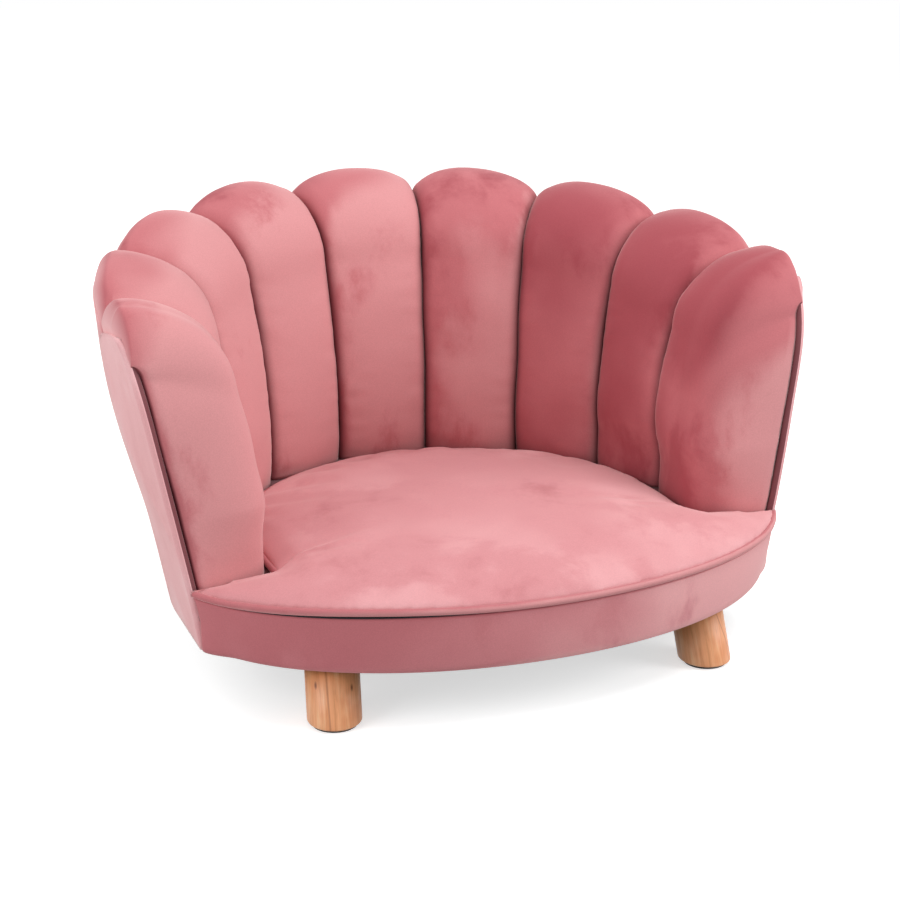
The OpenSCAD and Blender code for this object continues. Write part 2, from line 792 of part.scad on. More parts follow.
module cushion_foam() {
    low = cushion_z + cloth_t + clear;
    inset = top_inset + cloth_t + clear * 2;
    color("lightyellow")
        disc_solid(cushion_rings(inset, low + clear, cushion_top_z - cloth_t - clear),
            [[for (p = cushion_outline(inset)) flat3(p, low)]]);
}

zip_l = 200;
zip_w = 8;
zip_back = 30;

module zip_place(gap) {
    translate([-zip_l / 2 + gap, tub_y + seat_r - zip_back - zip_l / 2 + gap, cushion_z])
        children();
}

module cushion_base() {
    color("dimgray")
        difference() {
            translate([0, 0, cushion_z])
                linear_extrude(cloth_t)
                    polygon(cushion_outline(top_inset));
            zip_place(0)
                translate([0, 0, -over])
                    cube([zip_l, zip_w, cloth_t + over * 2]);
        }
}

module cushion_zip() {
    color("gray")
        zip_place(clear / 2)
            cube([zip_l - clear, zip_w - clear, cloth_t]);
}

module cushion_piping() {
    r = piping_d / 2;
    sides = 6;
    rings = [for (k = [0:sides - 1]) let (t = 360 * k / sides)
        [for (p = cushion_outline(r - r * cos(t))) flat3(p, cushion_z + r + r * sin(t))]];
    n = len(rings[0]);
    color("palevioletred")
        polyhedron(points = [for (ring = rings) each ring],
            faces = [for (k = [0:sides - 1], j = [0:n - 1]) let (
                    a = k * n + j,
                    b = k * n + (j + 1) % n,
                    c = ((k + 1) % sides) * n + (j + 1) % n,
                    d = ((k + 1) % sides) * n + j)
                each [[a, c, b], [a, d, c]]],
            convexity = 6);
}

module channel(mid) {
    color(abs(mid) < pitch_angle ? "palevioletred" : "lightpink")
        back_channel(mid);
}

module end_channel(side) {
    color("lightpink")
        if (side > 0)
            arm_channel();
        else
            mirror([1, 0, 0])
                arm_channel();
}

base_board();
tub_rail();
front_rail();
batten(-1);  // batten_left
batten(1);  // batten_right
deck_board();
deck_lining();
dust_cover();
outer_board();
inner_board();
top_rail();
rib(-0.5 * pitch_angle);  // rib_back_left
rib(0.5 * pitch_angle);  // rib_back_right
rib(-1.5 * pitch_angle);  // rib_mid_left
rib(1.5 * pitch_angle);  // rib_mid_right
rib(-2.5 * pitch_angle);  // rib_side_left
rib(2.5 * pitch_angle);  // rib_side_right
rib(-3.5 * pitch_angle);  // rib_arm_left
rib(3.5 * pitch_angle);  // rib_arm_right
arm_post(-1);  // arm_post_left
arm_post(1);  // arm_post_right
channel(0);  // channel_centre
channel(-pitch_angle);  // channel_left_1
channel(-2 * pitch_angle);  // channel_left_2
channel(-3 * pitch_angle);  // channel_left_3
end_channel(-1);  // channel_left_4
channel(pitch_angle);  // channel_right_1
channel(2 * pitch_angle);  // channel_right_2
channel(3 * pitch_angle);  // channel_right_3
end_channel(1);  // channel_right_4
outer_cover();
front_border();
leg(-1, -1);  // leg_front_left
leg(1, -1);  // leg_front_right
leg(-1, 1);  // leg_rear_left
leg(1, 1);  // leg_rear_right
foot(-1, -1);  // foot_front_left
foot(1, -1);  // foot_front_right
foot(-1, 1);  // foot_rear_left
foot(1, 1);  // foot_rear_right
leg_bolt(-1, -1);  // bolt_front_left
leg_bolt(1, -1);  // bolt_front_right
leg_bolt(-1, 1);  // bolt_rear_left
leg_bolt(1, 1);  // bolt_rear_right
tee_nut(-1, -1);  // tee_nut_front_left
tee_nut(1, -1);  // tee_nut_front_right
tee_nut(-1, 1);  // tee_nut_rear_left
tee_nut(1, 1);  // tee_nut_rear_right
rail_screws();
cushion_top();
cushion_base();
cushion_foam();
cushion_piping();
cushion_zip();
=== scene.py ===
import math

import bmesh
import bpy
from mathutils import Matrix, Vector, noise


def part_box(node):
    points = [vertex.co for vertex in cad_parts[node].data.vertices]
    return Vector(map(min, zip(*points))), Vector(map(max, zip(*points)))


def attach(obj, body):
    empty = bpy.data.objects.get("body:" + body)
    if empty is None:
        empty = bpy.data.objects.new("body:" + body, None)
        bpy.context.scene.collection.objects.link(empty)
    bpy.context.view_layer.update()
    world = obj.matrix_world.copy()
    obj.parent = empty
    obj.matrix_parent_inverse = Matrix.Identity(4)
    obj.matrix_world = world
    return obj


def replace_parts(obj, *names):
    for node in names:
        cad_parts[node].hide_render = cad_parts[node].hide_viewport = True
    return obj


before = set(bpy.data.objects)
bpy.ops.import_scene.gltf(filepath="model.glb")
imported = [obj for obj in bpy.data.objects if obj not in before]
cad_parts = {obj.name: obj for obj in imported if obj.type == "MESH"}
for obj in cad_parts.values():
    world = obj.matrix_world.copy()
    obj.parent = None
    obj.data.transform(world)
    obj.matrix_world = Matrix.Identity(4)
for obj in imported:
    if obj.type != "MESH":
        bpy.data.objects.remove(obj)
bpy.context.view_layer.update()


# The camera
# A product photographer's view from the front left, a little above the seat, on a long lens.
CAMERA_PLACE = Vector((-0.6521, -1.6989, 0.7508))
CAMERA_AIM = Vector((0.34653, 0.88712, -0.30484))
LENS_MM, SENSOR_MM = 75.4, 36.0
camera_data = bpy.data.cameras.new("view")
camera_data.lens = LENS_MM
camera_data.sensor_width = SENSOR_MM
camera = bpy.data.objects.new("view", camera_data)
right = CAMERA_AIM.cross(Vector((0, 0, 1))).normalized()
up = right.cross(CAMERA_AIM).normalized()
turn = Matrix((right, up, -CAMERA_AIM.normalized())).transposed()
camera.matrix_world = Matrix.Translation(CAMERA_PLACE) @ turn.to_4x4()
bpy.context.scene.collection.objects.link(camera)
bpy.context.scene.camera = camera


# The legs
# Four round splayed legs turned from pale softwood, eased at the foot, satin varnished.
# Each is screwed up into the base board by a bolt in its top.
MM = 0.001
FLOOR_GAP, PAD_T = 56 * MM, 3 * MM
LEG_D, LEG_TOP, BOLT_IN, BOLT_D = 50 * MM, FLOOR_GAP + 1 * MM, 32 * MM, 8.3 * MM
LEAN, LEAN_TURN = math.radians(18), math.radians(11)
LEG_EASE = 2.2 * MM


def finished(name, bm, smooth=True):
    mesh = bpy.data.meshes.new(name)
    bm.to_mesh(mesh)
    bm.free()
    for p in mesh.polygons:
        p.use_smooth = smooth
    obj = bpy.data.objects.new(name, mesh)
    bpy.context.scene.collection.objects.link(obj)
    return obj


def colour(hex_code):
    """Linear colour of an sRGB hex code."""
    parts = [int(hex_code[i:i + 2], 16) / 255 for i in (1, 3, 5)]
    return tuple(c / 12.92 if c <= 0.04045 else ((c + 0.055) / 1.055) ** 2.4 for c in parts) + (1.0,)


def new_material(name):
    mat = bpy.data.materials.new(name)
    mat.use_nodes = True
    mat.node_tree.nodes.clear()
    return mat, mat.node_tree


def add(tree, kind, settings=(), **inputs):
    """Adds a node, sets its properties, and links or sets its inputs by name."""
    node = tree.nodes.new("ShaderNode" + kind)
    for key, value in dict(settings).items():
        setattr(node, key, value)
    for key, value in inputs.items():
        name = key.replace("_", " ")
        socket = node.inputs[int(name[1:])] if name[0] == "n" and name[1:].isdigit() else node.inputs[name]
        if isinstance(value, bpy.types.NodeSocket):
            tree.links.new(value, socket)
        else:
            socket.default_value = value
    return node


def ramp(tree, factor, stops):
    """A colour ramp from (place, colour or grey value) pairs, read smoothly."""
    node = add(tree, "ValToRGB", Fac=factor)
    node.color_ramp.interpolation = "EASE"
    points = node.color_ramp.elements
    while len(points) < len(stops):
        points.new(0.5)
    for point, (place, value) in zip(points, stops):
        point.position = place
        point.color = value if isinstance(value, tuple) else (value, value, value, 1)
    return node.outputs["Color"]


def blend_colours(tree, factor, a, b, kind="MIX"):
    node = add(tree, "Mix", {"data_type": "RGBA", "blend_type": kind})
    for socket, value in ((node.inputs[0], factor), (node.inputs[6], a), (node.inputs[7], b)):
        if isinstance(value, bpy.types.NodeSocket):
            tree.links.new(value, socket)
        else:
            socket.default_value = value
    return node.outputs[2]


def leg_wood(name, foot, turn, knots, flaw):
    """Varnished softwood: straight grain up the leg, a few small knots and one darker line.
    Grain is 2 to 5 mm wide and drawn a little coarser, so that it shows."""
    mat, tree = new_material(name)
    place = add(tree, "TexCoord").outputs["Object"]
    local = add(tree, "Mapping", {"vector_type": "TEXTURE"}, Vector=place, Location=foot,
                Rotation=turn.to_euler()).outputs[0]
    along = add(tree, "Mapping", Vector=local, Scale=(1.0, 1.0, 0.07)).outputs[0]
    grain = add(tree, "TexNoise", Vector=along, Scale=170.0, Detail=4.0, Roughness=0.6, Distortion=0.5)
    fine = add(tree, "TexNoise", Vector=along, Scale=900.0, Detail=3.0, Roughness=0.65)
    cloud = add(tree, "TexNoise", Vector=local, Scale=38.0, Detail=2.0)
    tone = ramp(tree, grain.outputs[0], [(0.3, colour("#D4905D")), (0.5, colour("#ECA878")),
                                         (0.68, colour("#F6C092"))])
    streaks = ramp(tree, fine.outputs[0], [(0.3, 0.8), (0.62, 1.0)])
    tone = blend_colours(tree, 0.5, tone, streaks, "MULTIPLY")
    warm = ramp(tree, cloud.outputs[0], [(0.4, colour("#FFF4EA")), (0.65, colour("#F2D3B4"))])
    tone = blend_colours(tree, 0.6, tone, warm, "MULTIPLY")
    squeezed = add(tree, "Mapping", Vector=local, Scale=(1.0, 1.0, 0.45)).outputs[0]
    for spot, size in knots:
        away = add(tree, "VectorMath", {"operation": "DISTANCE"}, n0=squeezed,
                   n1=(spot[0], spot[1], spot[2] * 0.45)).outputs["Value"]
        near = add(tree, "MapRange", Value=away, From_Min=size * 0.35, From_Max=size * 1.3, To_Min=0.85,
                   To_Max=0.0).outputs[0]
        tone = blend_colours(tree, near, tone, colour("#6E3A20"))
    across, offset = flaw
    level = add(tree, "VectorMath", {"operation": "DOT_PRODUCT"}, n0=local, n1=across).outputs["Value"]
    level = add(tree, "Math", {"operation": "ADD"}, n0=level, n1=offset)
    level = add(tree, "Math", {"operation": "ABSOLUTE"}, n0=level.outputs[0]).outputs[0]
    line = add(tree, "MapRange", Value=level, From_Min=0.1 * MM, From_Max=0.9 * MM, To_Min=0.55, To_Max=0.0)
    tone = blend_colours(tree, line.outputs[0], tone, colour("#8A4A26"))
    bump = add(tree, "Bump", Height=fine.outputs[0], Strength=0.2, Distance=0.0003)
    rough = ramp(tree, grain.outputs[0], [(0.3, 0.5), (0.7, 0.36)])
    shader = add(tree, "BsdfPrincipled", Base_Color=tone, Roughness=rough, Normal=bump.outputs[0])
    shader.inputs["Coat Weight"].default_value = 0.25
    shader.inputs["Coat Roughness"].default_value = 0.3
    tree.links.new(shader.outputs[0], add(tree, "OutputMaterial").inputs["Surface"])
    return mat


def leg_piece(name, foot, turn):
    """A leaning round bar, cut level at both ends, with a bolt hole in its top and an eased foot."""
    axis = turn @ Vector((0, 0, 1))
    bm = bmesh.new()
    bmesh.ops.create_cone(bm, cap_ends=True, segments=72, radius1=LEG_D / 2, radius2=LEG_D / 2, depth=0.2,
                          matrix=Matrix.Translation(foot) @ turn.to_matrix().to_4x4())
    for level, way in ((PAD_T, -1), (LEG_TOP, 1)):
        cut = bmesh.ops.bisect_plane(bm, geom=bm.verts[:] + bm.edges[:] + bm.faces[:],
                                     plane_co=(0, 0, level), plane_no=(0, 0, way), clear_outer=True)
        rim = [e for e in cut["geom_cut"] if isinstance(e, bmesh.types.BMEdge)]
        face = bmesh.ops.contextual_create(bm, geom=rim)["faces"]
        if way > 0:
            bmesh.ops.inset_region(bm, faces=face, thickness=(LEG_D - BOLT_D) / 2)
            hole = bmesh.ops.extrude_discrete_faces(bm, faces=face)["faces"]
            bmesh.ops.translate(bm, verts=hole[0].verts[:], vec=-axis * BOLT_IN)
    bmesh.ops.remove_doubles(bm, verts=bm.verts[:], dist=1e-6)
    bottom = [e for e in bm.edges if all(abs(v.co.z - PAD_T) < 1e-5 for v in e.verts)]
    bmesh.ops.bevel(bm, geom=bottom, offset=LEG_EASE, segments=4, profile=0.5, affect="EDGES", material=-1)
    bmesh.ops.recalc_face_normals(bm, faces=bm.faces[:])
    return finished(name, bm)


def felt(name, dark, light):
    """Pressed wool felt: matt, with a faint tangle of fibres under a millimetre long."""
    mat, tree = new_material(name)
    place = add(tree, "TexCoord").outputs["Object"]
    tangle = add(tree, "TexNoise", Vector=place, Scale=1400.0, Detail=4.0, Roughness=0.7, Distortion=1.5)
    tone = ramp(tree, tangle.outputs[0], [(0.35, colour(dark)), (0.65, colour(light))])
    bump = add(tree, "Bump", Height=tangle.outputs[0], Strength=0.5, Distance=0.0003)
    shader = add(tree, "BsdfPrincipled", Base_Color=tone, Roughness=0.95, Normal=bump.outputs[0])
    shader.inputs["Sheen Weight"].default_value = 0.3
    tree.links.new(shader.outputs[0], add(tree, "OutputMaterial").inputs["Surface"])
    return mat


pad_felt = felt("pressed wool felt", "#3A3734", "#55504B")
LEGS = [("front_left", -1, -1, [((-0.0205, -0.0145, 0.037), 1.5 * MM), ((0.0105, -0.0225, 0.033), 1.4 * MM)],
         ((0.9, 0.2, 0.02), 14.6 * MM)),
        ("front_right", 1, -1, [((-0.004, -0.0245, 0.046), 0.9 * MM)], ((0.93, 0.0, 0.27), -20 * MM)),
        ("rear_left", -1, 1, [((0.02, 0.015, 0.03), 1.3 * MM)], ((0.9, 0.3, -0.1), 8 * MM)),
        ("rear_right", 1, 1, [((-0.017, 0.018, 0.04), 1.5 * MM)], ((0.7, 0.6, 0.08), -9 * MM))]
for place, side, end, knots, flaw in LEGS:
    low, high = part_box("foot_" + place)
    foot = Vector(((low[0] + high[0]) / 2, (low[1] + high[1]) / 2, 0))
    spin = -end * (math.pi / 2 + side * LEAN_TURN)
    turn = (Matrix.Rotation(spin, 3, "Z") @ Matrix.Rotation(LEAN, 3, "Y")
            @ Matrix.Rotation(-spin, 3, "Z")).to_quaternion()
    leg = leg_piece("wooden_leg_" + place, foot, turn)
    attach(leg, "frame")
    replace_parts(leg, "leg_" + place)
    leg.data.materials.append(
        leg_wood("varnished softwood " + place.replace("_", " "), foot, turn, knots, flaw))

    bm = bmesh.new()
    bmesh.ops.create_cone(bm, cap_ends=True, segments=48, radius1=(high[0] - low[0]) / 2,
                          radius2=(high[0] - low[0]) / 2, depth=PAD_T - 0.1 * MM,
                          matrix=Matrix.Translation(foot + Vector((0, 0, PAD_T / 2))))
    bmesh.ops.bevel(bm, geom=[e for e in bm.edges if abs(e.verts[0].co.z - e.verts[1].co.z) < 1e-6],
                    offset=0.6 * MM, segments=3, profile=0.5, affect="EDGES", material=-1)
    pad = finished("felt_pad_" + place, bm)
    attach(pad, "frame")
    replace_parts(pad, "foot_" + place)
    pad.data.materials.append(pad_felt)


# The bolts, tee nuts and screws
# Zinc-plated steel, pressed and rolled: dull silver with a faint cloudy crystal in the plating.
def plated_steel(name):
    mat, tree = new_material(name)
    place = add(tree, "TexCoord").outputs["Object"]
    crystals = add(tree, "TexVoronoi", Vector=place, Scale=420.0, Randomness=1.0)
    cloud = add(tree, "TexNoise", Vector=place, Scale=160.0, Detail=3.0)
    tone = ramp(tree, cloud.outputs[0], [(0.3, colour("#A9ACB0")), (0.7, colour("#C6C8CA"))])
    rough = ramp(tree, crystals.outputs["Distance"], [(0.0, 0.3), (0.8, 0.45)])
    shader = add(tree, "BsdfPrincipled", Base_Color=tone, Roughness=rough, Metallic=1.0)
    tree.links.new(shader.outputs[0], add(tree, "OutputMaterial").inputs["Surface"])
    return mat


def dressed(names, mat):
    """Gives CAD nodes a finish."""
    for name in names:
        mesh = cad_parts[name].data
        if len(mesh.materials):
            for i in range(len(mesh.materials)):
                mesh.materials[i] = mat
        else:
            mesh.materials.append(mat)


ENDS = ["front_left", "front_right", "rear_left", "rear_right"]
dressed(["bolt_" + e for e in ENDS] + ["tee_nut_" + e for e in ENDS] + ["rail_screws"],
        plated_steel("zinc plated steel"))


# The wooden frame
# Plywood base and deck boards, rails, battens, ribs and posts of sawn pine, glued and screwed.
# The curved walls of the back are thin hardboard, smooth on the face.
def sawn_wood(name, stretch, dark, light, plies=0.0):
    """Sawn wood with grain drawn out along one way, and plies seen at the edges where plies is given
    as their spacing in metres."""
    mat, tree = new_material(name)
    place = add(tree, "TexCoord").outputs["Object"]
    along = add(tree, "Mapping", Vector=place, Scale=stretch).outputs[0]
    grain = add(tree, "TexNoise", Vector=along, Scale=150.0, Detail=5.0, Roughness=0.6, Distortion=0.6)
    fuzz = add(tree, "TexNoise", Vector=place, Scale=1100.0, Detail=2.0)
    tone = ramp(tree, grain.outputs[0], [(0.35, colour(dark)), (0.65, colour(light))])
    if plies:
        level = add(tree, "SeparateXYZ", Vector=place).outputs["Z"]
        layer = add(tree, "Math", {"operation": "PINGPONG"}, n0=level, n1=plies).outputs[0]
        dusk = add(tree, "MapRange", Value=layer, From_Min=plies * 0.35, From_Max=plies * 0.65, To_Min=0.72,
                   To_Max=1.0).outputs[0]
        side = add(tree, "SeparateXYZ", Vector=add(tree, "NewGeometry").outputs["True Normal"]).outputs["Z"]
        side = add(tree, "Math", {"operation": "ABSOLUTE"}, n0=side).outputs[0]
        side = ramp(tree, side, [(0.3, 1.0), (0.7, 0.0)])
        tone = blend_colours(tree, side, tone, blend_colours(tree, 1.0, tone, dusk, "MULTIPLY"))
    bump = add(tree, "Bump", Height=fuzz.outputs[0], Strength=0.4, Distance=0.0004)
    shader = add(tree, "BsdfPrincipled", Base_Color=tone, Roughness=0.72, Normal=bump.outputs[0])
    tree.links.new(shader.outputs[0], add(tree, "OutputMaterial").inputs["Surface"])
    return mat


RIBS = [w + "_" + s for w in ("rib_back", "rib_mid", "rib_side", "rib_arm", "arm_post")
        for s in ("left", "right")]
dressed(RIBS, sawn_wood("sawn pine upright", (1.0, 1.0, 0.08), "#B98F5E", "#DDBB88"))
dressed(["tub_rail", "front_rail", "batten_left", "batten_right", "top_rail"],
        sawn_wood("sawn pine rail", (0.3, 0.3, 1.6), "#B68A58", "#D9B681"))
dressed(["base_board", "deck_board"],
        sawn_wood("birch plywood", (0.12, 1.0, 1.0), "#C29A66", "#DDBD8E", 1.3 * MM))
dressed(["outer_board", "inner_board"], sawn_wood("hardboard", (1.0, 1.0, 1.0), "#5E4128", "#7C5A3A"))


# The stuffed channels of the back
# Seven tubes of crushed velvet filled with soft fibre, sewn side by side and fanned round the tub.
# Each is stapled under the seat deck, pulled over the rim and closed against the outer cover.
PITCH = math.radians(24.4)
HALF_TUBE = PITCH / 2 - 0.001
RIDGE_R = 329 * MM
BOARD_R = RIDGE_R - 15 * MM
BASE_R, FLARE = 290 * MM, 60 / 324
HEIGHT, SIDE_DROP = 414 * MM, 44 * MM
SEAT_R, SEAT_LEVEL = 217 * MM, 111.3 * MM
STUFF_IN, COVER_IN = 27.6 * MM, 3.3 * MM
STUFF_BACK, STUFF_SIDE, CROWN = 66 * MM, 77 * MM, 19 * MM
DOME_H, SCALLOP, BOARD_DROP = 84 * MM, 31 * MM, 66 * MM
EDGE_DROP, EDGE_DIP = 24 * MM, 20 * MM
TUB_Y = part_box("cushion_piping")[0][1] + 237 * MM


def mix(a, b, t):
    return a + (b - a) * t


def gently(t):
    """From 0 to 1 with a soft start and a soft end."""
    t = max(0.0, min(1.0, t))
    return t * t * (3 - 2 * t)


def curve(table, t):
    """Smooth reading of a table of (place, value) pairs."""
    places = [p for p, _ in table]
    values = [v for _, v in table]
    i = max(0, min(len(table) - 2, sum(1 for p in places if p <= t) - 1))
    w = max(0.0, min(1.0, (t - places[i]) / (places[i + 1] - places[i])))

    def slope(k):
        a, b = max(0, k - 1), min(len(table) - 1, k + 1)
        return (values[b] - values[a]) / (places[b] - places[a])
    span = places[i + 1] - places[i]
    w2, w3 = w * w, w * w * w
    return ((2 * w3 - 3 * w2 + 1) * values[i] + (w3 - 2 * w2 + w) * span * slope(i)
            + (3 * w2 - 2 * w3) * values[i + 1] + (w3 - w2) * span * slope(i + 1))


def shell_r(z):
    return BASE_R + FLARE * (z - FLOOR_GAP)


def top_plane(y):
    return HEIGHT - SIDE_DROP + SIDE_DROP * y / RIDGE_R


def bulge(s):
    return math.sqrt(max(0.0, 1 - abs(s) ** 2.1))


# Depth of the stuffing up the face, as shares of its full depth
DEPTH_SHARES = [(0.0, 0.74), (0.09, 0.83), (0.17, 0.89), (0.3, 0.96), (0.42, 1.0), (0.56, 1.03),
                (0.78, 1.06), (1.0, 1.03)]


# The face stands clear of the cushion up to the first height over the seat, and fades back over the second
SEAT_CLEAR, SEAT_FADE = 34 * MM, 50 * MM


def face_radius(z, low, full):
    """Radius of a channel's crown at height z, between the seat and the start of the dome."""
    t = (z - SEAT_LEVEL) / (low - SEAT_LEVEL)
    r = shell_r(z) - STUFF_IN - full * curve(DEPTH_SHARES, t)
    seat = 1 - gently((z - SEAT_LEVEL - SEAT_CLEAR) / SEAT_FADE)
    return mix(r, max(r, SEAT_R + 1.0 * MM), seat)


DOME_SHARE = 0.42
# The velvet comes over the top edge of the outer cover by this much, and stands this far outside it
LAP, LAP_DOWN = 0.6 * MM, 3 * MM


def channel_front(mid, s, v, crown=CROWN):
    """Point on a channel at place s across it, -1 to 1, and v up and over it, 0 to 1."""
    a = mid + s * HALF_TUBE
    b = bulge(s)
    rise = top_plane(RIDGE_R * math.cos(a))
    low, top = rise - DOME_H, rise - SCALLOP * (1 - b)
    edge = rise - EDGE_DROP - EDGE_DIP * (1 - b)
    full = mix(STUFF_BACK, STUFF_SIDE, 1 - math.cos(min(abs(a), math.pi / 2)))
    if v < 1 - DOME_SHARE:
        z = mix(SEAT_LEVEL, low, v / (1 - DOME_SHARE))
        r = face_radius(z, low, full) + crown * (1 - b)
    else:
        t = math.pi * (v - 1 + DOME_SHARE) / DOME_SHARE
        start = face_radius(low, low, full) + crown * (1 - b)
        end = shell_r(edge) + LAP
        if t < math.pi / 2:
            r, z = RIDGE_R - (RIDGE_R - start) * math.cos(t), low + (top - low) * math.sin(t)
        else:
            r = RIDGE_R - (end - RIDGE_R) * math.cos(t)
            z = edge - LAP_DOWN + (top - edge + LAP_DOWN) * math.sin(t)
    return Vector((r * math.sin(a), TUB_Y + r * math.cos(a), z))


def ledge(y):
    return top_plane(y) - BOARD_DROP + 0.5 * MM


def channel_back(mid, s, v):
    """Point on the hidden side, up the inner board and out over the tops of the boards."""
    a = mid + s * HALF_TUBE
    level = ledge(BOARD_R * math.cos(a))
    if v < 1 - DOME_SHARE:
        z = mix(SEAT_LEVEL, level, v / (1 - DOME_SHARE))
        r = shell_r(z) - STUFF_IN
    else:
        r = shell_r(level) - mix(STUFF_IN, COVER_IN, (v - 1 + DOME_SHARE) / DOME_SHARE)
        z = ledge(r * math.cos(a))
    return Vector((r * math.sin(a), TUB_Y + r * math.cos(a), z))


def two_skins(name, across, along, front, back, shade=None):
    """A closed piece from two grids, front(s, v) and back(s, v), joined round their edges.
    The attribute valley holds shade(s, v) of the front: 0 on crowns, 1 deep in a seam."""
    bm = bmesh.new()
    valley = bm.verts.layers.float.new("valley")
    rims = []
    for place in (front, back):
        made = bmesh.ops.create_grid(bm, x_segments=across, y_segments=along, size=1)["verts"]
        inside = set(made)
        for v in made:
            s, t = v.co.x, (v.co.y + 1) / 2
            v.co = place(s, t)
            v[valley] = shade(s, t) if shade and place is front else float(place is back)
        rims += [e for v in made for e in v.link_edges if e.is_boundary and e.verts[0] in inside]
    bmesh.ops.bridge_loops(bm, edges=list(set(rims)))
    bmesh.ops.recalc_face_normals(bm, faces=bm.faces[:])
    return finished(name, bm)


def swell(obj, size, amount, seed=0.0, keep=None):
    """Uneven stuffing: moves points along their normals by slow noise of that size."""
    mesh = obj.data
    normals = [v.normal.copy() for v in mesh.vertices]
    for v, n in zip(mesh.vertices, normals):
        w = 1.0 if keep is None else keep(v.co)
        v.co += n * (noise.noise(v.co / size + Vector((seed, seed, seed))) * amount * w)


# Easing works this far above the seat, and not on the hem, which lies this far ahead and this wide
EASE_HIGH, EASE_LOW = 75 * MM, 45 * MM
HEM_AHEAD, HEM_WIDE = 58 * MM, 18 * MM


def eased(obj, rounds):
    """Evens out the crowns, leaving the seams, the feet and the hem of the arm fronts where they are."""
    bm = bmesh.new()
    bm.from_mesh(obj.data)
    valley = bm.verts.layers.float["valley"]
    for low, times in ((EASE_HIGH, rounds), (EASE_LOW, 2)):
        crowns = [v for v in bm.verts if v[valley] < 0.3 and v.co.z > SEAT_LEVEL + low
                  and (v.co.y > TUB_Y - HEM_AHEAD or abs(v.co.x) < shell_r(v.co.z) - HEM_WIDE)]
        for _ in range(times):
            bmesh.ops.smooth_vert(bm, verts=crowns, factor=0.5, use_axis_x=True, use_axis_y=True,
                                  use_axis_z=True)
    bm.to_mesh(obj.data)
    bm.free()


def puckered(obj, size, amount, seed):
    """Small gathers across a seam, where the cloth is drawn together by the stitches."""
    mesh = obj.data
    normals = [v.normal.copy() for v in mesh.vertices]
    for v, n, shade in zip(mesh.vertices, normals, mesh.attributes["valley"].data):
        near = math.sin(math.pi * min(1.0, shade.value / 0.9)) if shade.value < 0.9 else 0.0
        gather = noise.noise(Vector((v.co.x / (3 * size), v.co.y / (3 * size), v.co.z / size + seed)))
        v.co += n * (gather * amount * near)


# The way a surface faces where the velvet is painted lightest, the heights between which painted shade on the
# channels' feet fades out, and the place of the painted shade on the tops on the right: between which X and
# which heights it sets in
PAINTED_LIGHT_FACING = (0.9, -0.4, -0.4)
LOW_SHADE_FROM, LOW_SHADE_TO = 120 * MM, 215 * MM
RIGHT_SHADE_IN, RIGHT_SHADE_OUT, RIGHT_SHADE_LOW, RIGHT_SHADE_HIGH = 120 * MM, 225 * MM, 230 * MM, 330 * MM


